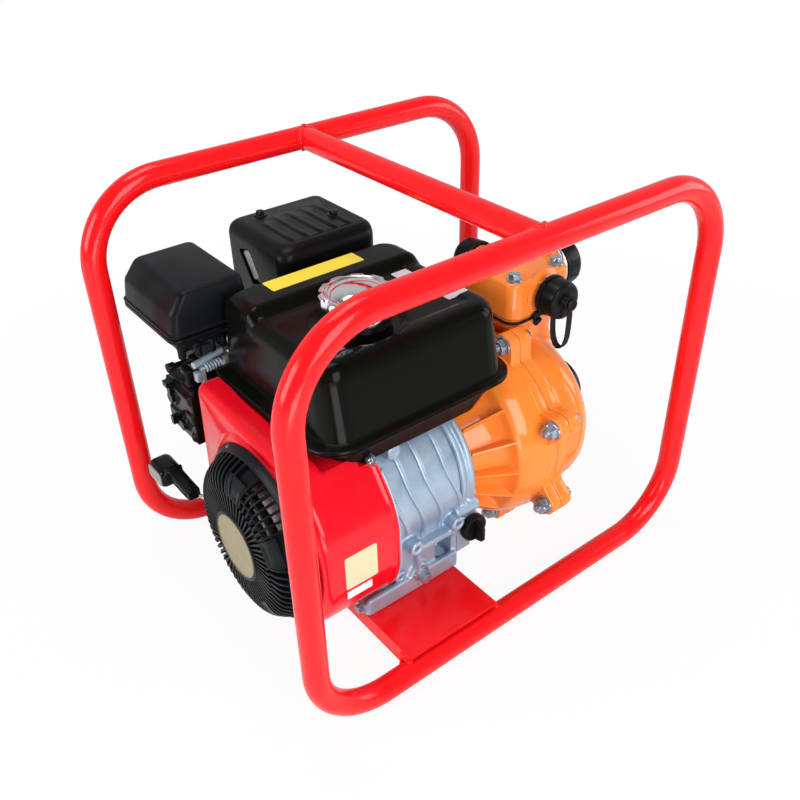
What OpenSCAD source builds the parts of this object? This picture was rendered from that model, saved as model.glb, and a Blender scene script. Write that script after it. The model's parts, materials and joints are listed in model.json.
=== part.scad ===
// Portable fire pump: a small petrol engine and a close-coupled pump in a tube frame.
// Millimetres, +Z up. The origin is under the middle of the whole pump, on the ground.
// Engine and pump are placed by u, v and w: u along the crankshaft from the frame's
// recoil-end upright, v across it towards the cylinder, w up from the crank axis.

/* [Frame] */
// Outside diameter of the frame tube
tube_d = 25; // [20:1:32]
// Wall of the frame tube
tube_wall = 2; // [1.5:0.5:3]
// Length of a hoop between its tube axes
hoop_len = 500; // [480:5:620]
// Height of a hoop between its tube axes
hoop_h = 425; // [400:5:520]
// Distance between the planes of the two hoops
hoop_gap = 360; // [330:5:440]
// Bend radius of the hoop's upper corners at the tube axis
bend_top = 82; // [60:1:100]
// Bend radius of the hoop's lower corners at the tube axis
bend_low = 78; // [50:1:90]
// Place of the top bar from the recoil-end uprights
bar_u = 255; // [200:5:300]

/* [Base channel] */
// Width of the channel along the crankshaft
channel_w = 118; // [110:1:150]
// Sheet thickness of the channel
channel_t = 4; // [3:0.5:6]
// Depth of the channel over its flanges
channel_h = 20; // [15:1:24]
// Height of the channel's top over the frame tubes
channel_rise = 7.5; // [5:0.5:15]

/* [Engine block] */
// Crank axis above the engine's feet
crank_h = 106; // [106:1:130]
// Crank axis from the frame's middle plane, on the oil filler side
crank_offset = 34.5; // [20:0.5:45]
// Outer radius of the round crankcase
case_r = 78; // [74:1:84]
// Start of the crankcase along the crankshaft
case_u = 132; // [130:1:134]
// Length of the crankcase body
case_l = 100; // [98:1:104]
// Thickness of the crankcase cover
cover_t = 20; // [18:1:24]
// Thickness of the engine's feet
foot_t = 14; // [10:1:18]
// Engine bolt spacing along the crankshaft
bolt_du = 75.5; // [70:0.5:80]
// Engine bolt spacing across the crankshaft
bolt_dv = 162; // [150:1:170]
// Diameter of the cylinder bore
bore_d = 68; // [60:1:72]
// Lean of the cylinder above the horizontal, in degrees
lean = 25; // [20:1:30]
// Diameter of the crank's main journals
journal_d = 25; // [20:0.1:26]
// Outside diameter of the main bearings
bearing_d = 52; // [47:1:56]
// Radial running clearance of shafts and screw plugs
run_gap = 0.05; // [0.02:0.01:0.1]

/* [Recoil starter and shroud] */
// Radius of the recoil cover's rim
recoil_r = 96; // [92:1:98]
// Depth of the recoil cover
recoil_depth = 32; // [30:1:36]
// Radius of the round medallion
medallion_r = 34.5; // [28:0.5:38]
// Radius of the rope's groove in the reel
reel_r = 50; // [44:1:54]
// Sheet thickness of the fan shroud
shroud_t = 2.5; // [1.5:0.5:3]
// Radius of the fan shroud around the flywheel
shroud_r = 102; // [101:1:104]

/* [Fuel tank] */
// Length of the tank's seam rim along the crankshaft
rim_l = 235; // [220:1:240]
// Width of the tank's seam rim
rim_w = 208; // [190:1:209]
// Height of the tank above its seam
tank_h = 82; // [70:1:90]
// Depth of the tank below its seam
tank_sump = 22; // [12:1:22]
// Wall of the tank
tank_t = 2; // [1.5:0.5:3]
// Radius of the fuel cap
fuel_cap_r = 33; // [30:1:38]

/* [Muffler and air cleaner] */
// Length of the muffler shield along the crankshaft
muffler_l = 125; // [110:1:128]
// Depth of the muffler shield across the crankshaft
muffler_w = 120; // [110:0.5:130]
// Height of the muffler shield
muffler_h = 102; // [90:1:110]
// Inside radius of the exhaust outlet
exhaust_r = 9; // [7:0.5:11]
// Length of the air cleaner along the crankshaft
cleaner_l = 94; // [88:1:100]
// Width of the air cleaner across the crankshaft
cleaner_w = 124; // [110:1:128]
// Height of the air cleaner's cover
cleaner_h = 46; // [40:1:60]

/* [Pump] */
// Radius of the pump's joint flange
flange_r = 107; // [104:1:112]
// Radius of the casing bolts' circle
casing_bolt_r = 119.5; // [117:0.5:124]
// Number of casing bolts
casing_bolts_n = 7; // [6:1:8]
// Radius of the impeller
impeller_r = 58; // [50:1:62]
// Radius of the suction port's thread
suction_r = 30; // [28:0.5:32]
// Radius of the main outlet's thread
main_r = 25; // [20:0.1:26]
// Radius of the side outlets' thread
side_r = 17; // [14:0.1:18]

/* [Hidden] */

$fn = 64;
red = "#f2242b";
crimson = "#d9162c";
black = "#1b1c1f";
zinc = "#b9bec6";
alloy = "#a9b4bf";
orange = "#ff9a33";
cream = "#c9b98a";
steel = "#8f959c";

// Ground and frame
base_z = tube_d + channel_rise;
crank_z = base_z + crank_h;
half_frame = hoop_gap / 2 + tube_d / 2;
eng_u0 = -hoop_len / 2;
weld_gap = 0.02;

// Muffler and air cleaner places
muffler_u = 168;
muffler_v = 137;
muffler_w0 = 112;
muffler_far = muffler_v + muffler_w;
cleaner_u = 33;
cleaner_v = 132;
cleaner_w0 = 160;

// The hoops' middle plane, set so that the origin is in the middle of the width
far_edge = max(half_frame, muffler_far - crank_offset);
frame_y = (half_frame - far_edge) / 2;
crank_y = frame_y - crank_offset;
near_y = frame_y - hoop_gap / 2;
far_y = frame_y + hoop_gap / 2;

// Engine feet and bolts, below the crank axis
foot_u = 106;
foot_l = 122;
foot_v = -73.5;
foot_w = 188;
bolt_u = 137;
bolt_v = -62;
bolt_d = 8;
bolt_hole = 9;
hex_af = 13;
head_h = 5.5;
nut_h = 6.5;
cover_u = case_u + case_l;
pump_u = cover_u + cover_t;

// Crank, cylinder and bearings
cyl_u = 185;
web_r = 48;
web_t = 12;
pin_r = 13;
throw = 27;
crank_cavity_r = 56;
bearing_l = 15;
bearing_u = 125;
barrel_r = bore_d / 2 + 8;
barrel_s0 = 50;
deck_s = 118;
head_s = 60;
head_half_u = 42;
head_half_p = 40;
under_tank = 7;
rocker_s = 24;
wrist_r = 8;
wrist_s = 90;

// Recoil, flywheel and reel along the crankshaft
recoil_u = 8;
recoil_t = 2.5;
recoil_back_u = recoil_u + recoil_depth;
recoil_face_r = recoil_r - 18;
post_r = 8;
medallion_t = 1.4;
reel_u = 15;
reel_t = 14;
reel_rim_r = reel_r + 10;
rope_d = 4.5;
cup_u = 44;
cup_r = 38;
fan_u = 50;
fly_u = 66;
fly_t = 18;
fly_r = 84;
stub_r = 9.5;
shroud_u = recoil_back_u;
shroud_l = case_u - shroud_u - 0.3;
shroud_step_u = 76;
shroud_mid_u = 88;
shroud_mid_w = 94;
shroud_step_w = 83;
shroud_floor = 3 - crank_h;

// Fuel tank: seam height and outlines
seam_w = 108;
seam_t = 4;
rim_u = 78;
rim_v = -76;
rim_corner = 34;
rim_lip = 9;
far_lip = 5;
tank_edge = 11;
plateau_v = 76;
plateau_h = 8;
cap_u = 172;
cap_v = 8;
neck_r = 26;
neck_wall = 3;
neck_h = 10;
cap_h = 35;

// Carburettor and controls
carb_v = 160;
carb_w = 60;
panel_u = 44;
panel_v = 140;
panel_w0 = 24;
panel_t = 14;
lever_pin_r = 3;
choke_v = 184;
choke_w = 66;
fuel_v = 164;
fuel_w = 40;
throttle_u = 60;
throttle_v = 152;
throttle_w = 126;

// Pump along the crankshaft
bell_r = 62;
shoulder_u = 298;
shoulder_r = 97;
flange_u = 333;
rear_flange_t = 12;
joint_u = flange_u + rear_flange_t;
front_flange_t = 15;
ear_r = 13;
ear_step = 0.4;
bolt_seat_u = joint_u + front_flange_t + ear_step;
nut_seat_u = flange_u - ear_step;
first_bolt_a = 104;
pump_wall_u = 325;
shaft_r = 10;
volute_u = 386;
volute_ring_r = 58;
volute_tube_r = 40;
water_ring_r = 67;
water_tube_r = 26;
suction_u = 440;
thread_l = 22;
port_wall = 6;
manifold_u = 352;
manifold_l = 91;
manifold_v = -20.5;
manifold_w = 91;
manifold_w0 = 132;
manifold_h = 42;
manifold_corner = 14;
manifold_bolt_in = 14;
outlet_u = 400;
outlet_w = 154;
main_v = manifold_v + manifold_w / 2;
neck_l = 6;
far_neck_l = 14;
main_neck_l = 5;
ring_t = 5;
cap_wall = 4;
cap_depth = 25;

module at_engine() {
    translate([eng_u0, crank_y, crank_z]) children();
}

// Stands what is drawn along Z along the crankshaft
module along_u(u, v = 0, w = 0) {
    translate([u, v, w]) rotate([0, 90, 0]) children();
}

// Stands what is drawn along Z towards the far hoop
module along_v(u, v, w) {
    translate([u, v, w]) rotate([-90, 0, 0]) children();
}

// Stands what is drawn along Z towards the near hoop
module against_v(u, v, w) {
    translate([u, v, w]) rotate([90, 0, 0]) children();
}

// Draws in the cylinder's own frame, Z out of the bore
module in_cylinder() {
    translate([cyl_u, 0, 0]) rotate([lean - 90, 0, 0]) children();
}

// Extrudes an outline drawn in v and w along the crankshaft
module slab_u(u, l) {
    translate([u, 0, 0]) rotate([90, 0, 90]) linear_extrude(l) children();
}

// A rectangle with round corners, its low corner at the origin
module rounded(l, w, r) {
    translate([r, 0]) square([l - 2 * r, w]);
    translate([0, r]) square([l, w - 2 * r]);
    for (x = [r, l - r], y = [r, w - r]) translate([x, y]) circle(r);
}

module hex(af, h) {
    cylinder(d = af / cos(30), h = h, $fn = 6);
}

// A flanged hex bolt: washer face at Z = 0, shank down
module flange_bolt(d, af, shank) {
    translate([0, 0, -shank]) cylinder(d = d, h = shank + 1);
    cylinder(d = af * 1.35, h = 1.6);
    hex(af, head_h);
}

// The closed path of a hoop's tube, as a solid bar
module hoop_bar(d) {
    for (mz = [0, 1]) {
        r = mz == 0 ? bend_top : bend_low;
        half_l = hoop_len / 2 - r;
        mirror([0, 0, mz]) {
            translate([-half_l, 0, hoop_h / 2]) rotate([0, 90, 0]) cylinder(d = d, h = 2 * half_l);
            for (mx = [0, 1]) mirror([mx, 0, 0]) translate([half_l, 0, hoop_h / 2 - r])
                rotate([90, 0, 0]) rotate_extrude(angle = 90) translate([r, 0]) circle(d = d);
        }
    }
    for (side = [-1, 1]) translate([side * hoop_len / 2, 0, bend_low - hoop_h / 2])
        cylinder(d = d, h = hoop_h - bend_low - bend_top);
}

module hoop(y) {
    translate([0, y, hoop_h / 2 + tube_d / 2]) difference() {
        hoop_bar(tube_d);
        hoop_bar(tube_d - 2 * tube_wall);
    }
}

module near_hoop() {
    color(red) hoop(near_y);
}

module far_hoop() {
    color(red) hoop(far_y);
}

// The straight tubes that a cross member is cut to, at a height
module hoop_rails(z) {
    for (y = [near_y, far_y])
        translate([-hoop_len / 2, y, z]) rotate([0, 90, 0])
            cylinder(d = tube_d + 2 * weld_gap, h = hoop_len);
}

module top_bar() {
    bar_z = hoop_h + tube_d / 2;
    color(red) difference() {
        translate([eng_u0 + bar_u, near_y, bar_z]) rotate([-90, 0, 0]) difference() {
            cylinder(d = tube_d, h = hoop_gap);
            translate([0, 0, -1]) cylinder(d = tube_d - 2 * tube_wall, h = hoop_gap + 2);
        }
        hoop_rails(bar_z);
    }
}

// The four engine bolt places, in the engine's frame
module at_bolts() {
    for (du = [0, bolt_du], dv = [0, bolt_dv])
        translate([bolt_u + du, bolt_v + dv, -crank_h]) children();
}

module base_channel() {
    mid_u = foot_u + foot_l / 2 - 1;
    low_x = eng_u0 + mid_u - channel_w / 2;
    color(red) difference() {
        translate([low_x, near_y, base_z - channel_h]) cube([channel_w, hoop_gap, channel_h]);
        translate([low_x + channel_t, near_y - 1, base_z - channel_h - 1])
            cube([channel_w - 2 * channel_t, hoop_gap + 2, channel_h + 1 - channel_t]);
        hoop_rails(tube_d / 2);
        at_engine() at_bolts() translate([0, 0, -channel_t - 1])
            cylinder(d = bolt_hole, h = channel_t + 2);
    }
}

module engine_bolts() {
    color(zinc) at_engine() at_bolts() {
        translate([0, 0, foot_t]) flange_bolt(bolt_d, hex_af, foot_t + channel_t + nut_h + 4);
        translate([0, 0, -channel_t - nut_h]) hex(hex_af, nut_h);
    }
}

// Round engine section with its square sump, in v and w
module case_outline() {
    circle(case_r);
    translate([-case_r + 6, -crank_h + foot_t]) square([2 * case_r - 12, crank_h - foot_t]);
}

module crankcase() {
    fin_t = 3;
    fin_r = bore_d / 2 + 18;
    niche = 22;
    post_h = seam_w - tank_sump;
    color(alloy) at_engine() difference() {
        union() {
            translate([foot_u, foot_v, -crank_h]) cube([foot_l, foot_w, foot_t]);
            slab_u(case_u, case_l) case_outline();
            along_u(bearing_u) cylinder(r = bearing_d / 2 + 8, h = case_u - bearing_u + 1);
            in_cylinder() {
                translate([0, 0, barrel_s0]) cylinder(r = barrel_r, h = deck_s - barrel_s0);
                for (s = [84 : 8 : deck_s - fin_t]) translate([0, 0, s]) cylinder(r = fin_r, h = fin_t);
            }
            for (u = [case_u + 16, cover_u - 16])
                translate([u, 0, case_r - 6]) cylinder(r = 8, h = post_h - case_r + 6);
        }
        translate([case_u - 20, 30, case_r + 5]) cube([case_l + 40, 100, 40]);
        along_u(case_u + 10) cylinder(r = crank_cavity_r, h = case_l);
        along_u(bearing_u - 1) cylinder(d = bearing_d, h = bearing_l + 1);
        along_u(bearing_u) cylinder(r = journal_d / 2 + 4, h = case_l);
        in_cylinder() translate([0, 0, 20]) cylinder(d = bore_d, h = deck_s);
        at_bolts() translate([0, 0, -1]) cylinder(d = bolt_hole, h = foot_t + 2);
        at_bolts() translate([-niche / 2, -niche, foot_t]) cube([niche, 2 * niche - 8, 2 * niche]);
        along_v(drain_u, -case_r, drain_w) cylinder(r = drain_r, h = 20);
    }
}

drain_u = 176;
drain_w = -80;
drain_r = 5;

module drain_plug() {
    plug_l = 8;
    color(zinc) at_engine() against_v(drain_u, -case_r + 6, drain_w) {
        translate([0, 0, -plug_l]) cylinder(r = drain_r - run_gap, h = plug_l + 1);
        cylinder(r = 10, h = 2);
        translate([0, 0, 1.5]) hex(12, 9);
    }
}

filler_u = cover_u + cover_t / 2;
filler_w = -50;
filler_v = -82;
filler_r = 8;

// Bolt places around the crankcase cover's edge
module at_cover_bolts() {
    r = case_r - 8;
    for (a = [15, 75, 105, 195, 345]) translate([0, r * cos(a), r * sin(a)]) children();
}

module crankcase_cover() {
    boss_r = cover_t / 2;
    color(alloy) at_engine() difference() {
        union() {
            slab_u(cover_u, cover_t) case_outline();
            against_v(filler_u, -40, filler_w) cylinder(r = boss_r, h = -filler_v - 40);
        }
        along_u(cover_u - 1) cylinder(d = bearing_d, h = bearing_l + 1);
        along_u(cover_u) cylinder(r = journal_d / 2 + 3, h = cover_t + 1);
        against_v(filler_u, -50, filler_w) cylinder(r = filler_r, h = 60);
        at_cover_bolts() along_u(cover_u - 1) cylinder(d = 6.1, h = cover_t + 2);
        at_pump_lugs() along_u(cover_u + 4) cylinder(d = bolt_d + 0.1, h = cover_t);
    }
}

// Places of the bolts that hold the pump's bell on the engine
module at_pump_lugs() {
    for (a = [45, 135, 225, 315]) translate([0, lug_r * cos(a), lug_r * sin(a)]) children();
}

module cover_bolts() {
    color(zinc) at_engine() {
        at_cover_bolts() along_u(pump_u) flange_bolt(6, 10, cover_t - 1);
        at_pump_lugs() along_u(pump_u + lug_t) flange_bolt(bolt_d, hex_af, lug_t + 12);
    }
}

lug_r = 55;
lug_t = 12;

module oil_filler_cap() {
    disc_r = 16;
    disc_h = 9;
    color(black) at_engine() against_v(filler_u, filler_v - 0.3, filler_w) {
        translate([0, 0, -18]) cylinder(r = filler_r - run_gap, h = 19);
        cylinder(r = disc_r, h = disc_h);
        translate([-2.5, -disc_r + 2, disc_h - 1]) cube([5, 2 * disc_r - 4, 4]);
        translate([-2.5, -8, disc_h]) cube([5, 16, 13]);
    }
}

module bearing() {
    difference() {
        cylinder(d = bearing_d - 0.04, h = bearing_l);
        translate([0, 0, -1]) cylinder(r = journal_d / 2 + run_gap, h = bearing_l + 2);
    }
}

module main_bearings() {
    color(steel) at_engine() {
        along_u(bearing_u) bearing();
        along_u(cover_u) bearing();
    }
}

port_s = carb_v * cos(lean) + carb_w * sin(lean);
port_p = carb_w * cos(lean) - carb_v * sin(lean);
plug_x = 31;
plug_y = 8;
plug_r = 7;

module cylinder_head() {
    color(alloy) at_engine() in_cylinder() difference() {
        translate([-head_half_u, under_tank - head_half_p, deck_s])
            cube([2 * head_half_u, 2 * head_half_p - under_tank, head_s]);
        translate([0, 0, deck_s - 1]) cylinder(d = bore_d - 4, h = 9);
        for (s = [deck_s + 12 : 9 : deck_s + head_s - 20]) {
            translate([-head_half_u - 1, head_half_p - 12, s]) cube([2 * head_half_u + 2, 13, 4]);
            translate([-head_half_u - 1, -head_half_p - 1, s]) cube([2 * head_half_u + 2, 18, 4]);
        }
        for (side = [-1, 1])
            translate([side * head_half_u, -port_p, port_s]) rotate([0, 90, 0])
                cylinder(r = 10, h = 30, center = true);
        translate([plug_x, plug_y, deck_s + head_s - 16]) cylinder(r = plug_r, h = 20);
    }
}

module rocker_cover() {
    l = 56;
    w = 60;
    color(steel) at_engine() in_cylinder() translate([0, 0, deck_s + head_s]) difference() {
        translate([-head_half_u + 4, -w / 2, 0]) union() {
            linear_extrude(4) rounded(l, w, 8);
            translate([4, 4, 0]) linear_extrude(rocker_s) rounded(l - 8, w - 8, 8);
        }
        translate([-head_half_u + 10, -w / 2 + 6, -1])
            linear_extrude(rocker_s - 1) rounded(l - 12, w - 12, 6);
    }
}

module piston() {
    piston_r = bore_d / 2 - run_gap;
    crown_s = deck_s - 4;
    skirt = 44;
    color(steel) at_engine() in_cylinder() translate([0, 0, wrist_s]) rotate([0, 90, 0])
        cylinder(r = wrist_r - 0.02, h = bore_d - 8, center = true);
    color(alloy) at_engine() in_cylinder() difference() {
        translate([0, 0, crown_s - skirt]) cylinder(r = piston_r, h = skirt);
        translate([0, 0, crown_s - skirt - 1]) cylinder(r = piston_r - 6, h = skirt - 6);
        translate([0, 0, wrist_s]) rotate([0, 90, 0]) cylinder(r = wrist_r, h = bore_d, center = true);
        for (s = [5, 11]) translate([0, 0, crown_s - s - 2]) difference() {
            cylinder(r = piston_r + 1, h = 2);
            translate([0, 0, -1]) cylinder(r = piston_r - 2, h = 4);
        }
    }
}

module connecting_rod() {
    rod_t = 16;
    color(alloy) at_engine() in_cylinder() difference() {
        union() {
            translate([0, 0, wrist_s]) rotate([0, 90, 0])
                cylinder(r = wrist_r + 5, h = rod_t, center = true);
            translate([-rod_t / 2, -6, crank_cavity_r - 4]) cube([rod_t, 12, wrist_s - crank_cavity_r]);
        }
        translate([0, 0, wrist_s]) rotate([0, 90, 0]) cylinder(r = wrist_r, h = rod_t + 2, center = true);
    }
}

module spark_plug() {
    color("white") at_engine() in_cylinder() translate([plug_x, plug_y, deck_s + head_s]) {
        translate([0, 0, -15]) cylinder(r = plug_r - 0.1, h = 16);
        hex(18, 12);
        translate([0, 0, 11]) cylinder(r = 6, h = 10);
    }
}

// One tube of points: a ring of sides around each point of a path
function unit(a) = a / norm(a);
function tangent(p, i) = unit(p[min(i + 1, len(p) - 1)] - p[max(i - 1, 0)]);
function across(t) = unit(cross(t, abs(t[2]) > 0.9 ? [1, 0, 0] : [0, 0, 1]));

module sweep(path, r, sides) {
    n = len(path);
    ring = [for (i = [0 : n - 1]) let (t = tangent(path, i), a = across(t), b = cross(t, a))
        for (k = [0 : sides - 1]) path[i] + r * (a * cos(360 * k / sides) + b * sin(360 * k / sides))];
    walls = [for (i = [0 : n - 2], k = [0 : sides - 1], half = [0, 1])
        let (a = i * sides + k, b = i * sides + (k + 1) % sides)
        half == 0 ? [a, a + sides, b] : [b, a + sides, b + sides]];
    ends = [for (k = [1 : sides - 2], last = [0, 1])
        let (o = last * (n - 1) * sides) last == 0 ? [o, o + k, o + k + 1] : [o, o + k + 1, o + k]];
    polyhedron(ring, concat(walls, ends));
}

plug_tip = deck_s + head_s + 12.2;
lead_route = [[216, 189, 79], [216, 196, 82], [215, 201, 79], [210, 202, 68], [203, 200, 52],
    [192, 195, 32], [178, 184, 10], [164, 166, -8], [148, 142, -18], [138, 122, -8],
    [126, 110, 12], [116, 104, 26], [104, 101, 32], [85, 100, 34]];

module plug_lead() {
    boot_h = 20;
    color(black) at_engine() {
        in_cylinder() translate([plug_x, plug_y, plug_tip]) difference() {
            cylinder(r = 9.5, h = boot_h);
            translate([0, 0, -1]) cylinder(r = 6.1, h = 11);
        }
        sweep(lead_route, 3, 8);
    }
}

module ignition_coil() {
    coil_a = 20;
    color(black) at_engine() rotate([coil_a, 0, 0]) {
        translate([fly_u + 2, fly_r + 1.5, -14]) cube([fly_t - 4, 4, 28]);
        translate([fly_u + 4, fly_r + 5, -10]) cube([fly_t - 8, 20, 20]);
    }
}

// The fan shroud's outline in v and w: the round fan case and the duct to the cylinder
module shroud_outline() {
    corner = 12;
    hull() {
        circle(shroud_r);
        for (p = [[-50, 84], [103, 98], [118, -10]]) translate(p) circle(corner, $fn = 32);
    }
}

module shroud_cut(low, high) {
    intersection() {
        shroud_outline();
        translate([-200, low]) square([400, high - low]);
    }
}

// The hollow of one length of the shroud, under its own roof
module shroud_hollow(u0, u1, roof, wall) {
    slab_u(u0 + wall, u1 - u0 - 2 * wall) offset(delta = -wall) shroud_cut(shroud_floor, roof);
}

// What stands over a roof height, from a place along the crankshaft on
module above(u, w) {
    translate([u, -200, w]) cube([200, 400, 200]);
}

module fan_shroud() {
    back_u = shroud_u + shroud_l;
    into = 2 * shroud_t + 2;
    full_w = 150;
    step_t = 0.1;
    color(crimson) at_engine() difference() {
        slab_u(shroud_u, shroud_l) shroud_cut(shroud_floor, full_w);
        above(shroud_step_u, shroud_mid_w);
        above(shroud_mid_u, shroud_step_w);
        shroud_hollow(shroud_u, shroud_step_u, full_w, shroud_t);
        shroud_hollow(shroud_step_u - into, shroud_mid_u, shroud_mid_w, shroud_t + step_t);
        shroud_hollow(shroud_mid_u - into, back_u + 20, shroud_step_w, shroud_t + 2 * step_t);
        along_u(shroud_u - 1) cylinder(r = recoil_face_r, h = 2 * shroud_t);
        translate([foot_u - 1, foot_v - 1, -crank_h - 1]) cube([foot_l, foot_w + 2, foot_t + 1.5]);
    }
}

// Screw places on the recoil cover's flange
module at_recoil_screws() {
    for (a = [60, 180, 300])
        translate([0, (recoil_r - 4) * cos(a), (recoil_r - 4) * sin(a)]) children();
}

module shroud_screws() {
    flange_r0 = 5;
    color(zinc) at_engine() {
        at_recoil_screws() along_u(recoil_back_u - 2.5) mirror([0, 0, 1]) {
            cylinder(r = 3.4, h = 1);
            hex(5, 3);
        }
        along_u(foot_u, foot_v + 8, -crank_h + foot_t / 2) mirror([0, 0, 1]) {
            cylinder(r = flange_r0 + 1, h = 1.5);
            hex(8, 6);
        }
    }
}

module recoil_cover() {
    slot_t = 3;
    slots = 40;
    face_slot = recoil_face_r - medallion_r - 12;
    rim_u0 = recoil_back_u - 2.5;
    color(black) at_engine() difference() {
        union() {
            along_u(0) rotate_extrude() polygon([
                [0, recoil_u], [recoil_face_r - 6, recoil_u], [recoil_face_r, recoil_u + 4],
                [recoil_r - 8, rim_u0], [recoil_r, rim_u0], [recoil_r, recoil_back_u],
                [recoil_r - 10.5, recoil_back_u], [recoil_face_r - 3, recoil_u + 6],
                [recoil_face_r - 7, recoil_u + recoil_t], [0, recoil_u + recoil_t]]);
            along_u(recoil_u + 1) cylinder(r = post_r, h = recoil_depth - 6);
        }
        for (k = [0 : slots - 1]) rotate([k * 360 / slots, 0, 0]) {
            translate([recoil_u - 1, medallion_r + 6, -slot_t / 2]) cube([5, face_slot, slot_t]);
            if (k % 8 < 6)
                translate([recoil_u + 7, recoil_face_r - 8, -slot_t / 2])
                    cube([recoil_depth - 14, 22, slot_t]);
        }
        along_v(rope_u, 60, rope_w) cylinder(r = rope_d / 2 + 1.5, h = 60);
    }
}

rope_u = reel_u + reel_t / 2;
rope_w = 0;

module medallion() {
    color(cream) at_engine() along_u(recoil_u - medallion_t) cylinder(r = medallion_r, h = medallion_t);
}

module crankshaft() {
    web_gap = 34;
    web_u = cyl_u - web_gap / 2 - web_t;
    webs_end = web_u + web_gap + 2 * web_t;
    color(steel) at_engine() {
        along_u(cup_u + 10) cylinder(r = stub_r, h = bearing_u - cup_u - 10);
        along_u(bearing_u - 0.5) cylinder(d = journal_d, h = web_u - bearing_u + 1);
        for (u = [web_u, web_u + web_t + web_gap]) along_u(u) cylinder(r = web_r, h = web_t);
        along_u(web_u + 1, -throw, 0) cylinder(r = pin_r, h = web_gap + 2 * web_t - 2);
        along_u(webs_end - 0.5) cylinder(d = journal_d, h = pump_u - webs_end);
        along_u(pump_u - 1) cylinder(r = shaft_r, h = impeller_u + impeller_l - pump_u + 1);
        along_u(impeller_u + impeller_l - 1) cylinder(r = 6, h = 11);
    }
}

impeller_u = flange_u + 4;
impeller_l = 26;

module flywheel() {
    blades = 14;
    color(steel) at_engine() difference() {
        union() {
            along_u(fly_u) cylinder(r = fly_r, h = fly_t);
            for (k = [0 : blades - 1]) rotate([k * 360 / blades, 0, 0])
                translate([fan_u, cup_r + 8, -1.5]) cube([fly_u - fan_u + 1, fly_r - cup_r - 10, 3]);
        }
        along_u(fan_u) cylinder(r = stub_r, h = 80);
        along_u(fly_u + 6) difference() {
            cylinder(r = fly_r - 10, h = fly_t);
            translate([0, 0, -1]) cylinder(r = 24, h = fly_t + 2);
        }
    }
}

module starter_cup() {
    windows = 12;
    color(zinc) at_engine() difference() {
        along_u(cup_u) cylinder(r = cup_r, h = fly_u - cup_u);
        along_u(cup_u - 1) cylinder(r = cup_r - 2, h = fly_u - cup_u - 1);
        along_u(cup_u) cylinder(r = stub_r, h = 60);
        for (k = [0 : windows - 1]) rotate([k * 360 / windows, 0, 0])
            translate([cup_u + 6, cup_r - 6, -3]) cube([8, 12, 6]);
    }
}

module flywheel_nut() {
    color(zinc) at_engine() along_u(fly_u - 12) difference() {
        hex(22, 10);
        translate([0, 0, -1]) cylinder(r = stub_r, h = 14);
    }
}

module rope_reel() {
    color(black) at_engine() along_u(reel_u) difference() {
        rotate_extrude() polygon([[post_r + run_gap, 0], [reel_rim_r, 0], [reel_rim_r, 2],
            [reel_r - 2, 2], [reel_r - 2, reel_t - 2], [reel_rim_r, reel_t - 2], [reel_rim_r, reel_t],
            [reel_r - 8, reel_t], [reel_r - 8, 6], [18, 6], [18, reel_t], [post_r + run_gap, reel_t]]);
        for (k = [0 : 2]) rotate(k * 120) translate([30, 0, -1]) cylinder(r = 7, h = 9);
    }
}

module rope_turns() {
    color("#d8d6cf") at_engine() along_u(reel_u + 2.1) difference() {
        cylinder(r = reel_r + 5, h = reel_t - 4.2);
        translate([0, 0, -1]) cylinder(r = reel_r - 1.9, h = reel_t);
    }
}

// Pull direction of the starter rope, clear of the frame
pull = unit([-0.7, 0.45, 0.55]);
rope_exit_v = 92;
handle_v0 = 96;
stem_w = 15;
stem_l = 44;
head_size = [26, 34, 22];

// Point of the rope's mouth in the handle's stem
rope_mouth = [rope_u - 10, handle_v0 + 5, rope_w];

module starter_rope() {
    color("#d8d6cf") at_engine() sweep([for (t = [0 : 1 : 2]) rope_mouth + pull * t], rope_d / 2, 8);
}

module pull_handle() {
    color(black) at_engine() difference() {
        union() {
            translate([rope_u - 10 - stem_w / 2, handle_v0, -stem_w / 2])
                cube([stem_w, stem_l + 1, stem_w]);
            translate([rope_u - 14 - head_size[0] / 2, handle_v0 + stem_l, -head_size[2] / 2 - 2])
                cube(head_size);
        }
        translate(rope_mouth) sphere(r = rope_d / 2 + 2.5);
    }
}

module carburettor() {
    body_u = 96;
    flange_t = 6;
    gap_u = cyl_u - head_half_u;
    color(alloy) at_engine() difference() {
        union() {
            translate([body_u, carb_v - 15, carb_w - 18]) cube([gap_u - body_u - flange_t, 30, 36]);
            translate([gap_u - flange_t - 0.5, carb_v - 22, carb_w - 16]) cube([flange_t + 0.5, 38, 30]);
            translate([body_u + 19, carb_v, carb_w - 48]) cylinder(r = 17, h = 31);
        }
        along_u(body_u - 1, carb_v, carb_w) cylinder(r = 9, h = 60);
    }
}

// The levers' pins on the control panel
module at_levers() {
    along_u(panel_u, choke_v, choke_w) children();
    along_u(panel_u, fuel_v, fuel_w) children();
}

module control_panel() {
    panel_w = 60;
    panel_h = 62;
    wall = 3;
    color(black) at_engine() difference() {
        translate([panel_u, panel_v, panel_w0]) cube([panel_t + 8, panel_w, panel_h]);
        translate([panel_u + wall, panel_v + wall, panel_w0 + wall])
            cube([panel_t + 8, panel_w - 2 * wall, panel_h - 2 * wall]);
        at_levers() translate([0, 0, -1]) cylinder(r = lever_pin_r + run_gap, h = wall + 2);
    }
}

// A short lever on a pin, drawn with its pin along Z and its arm along X
module lever(arm) {
    translate([0, 0, -6]) cylinder(r = lever_pin_r, h = 14);
    translate([0, 0, -6]) cylinder(r = 6, h = 5.6);
    translate([0, -3.5, -6]) cube([arm, 7, 5]);
    translate([arm - 4, -5, -9]) cube([6, 10, 8]);
}

module choke_lever() {
    color(black) at_engine() along_u(panel_u, choke_v, choke_w) rotate(180) lever(20);
}

module fuel_lever() {
    color(black) at_engine() along_u(panel_u, fuel_v, fuel_w) rotate(90) lever(18);
}

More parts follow.
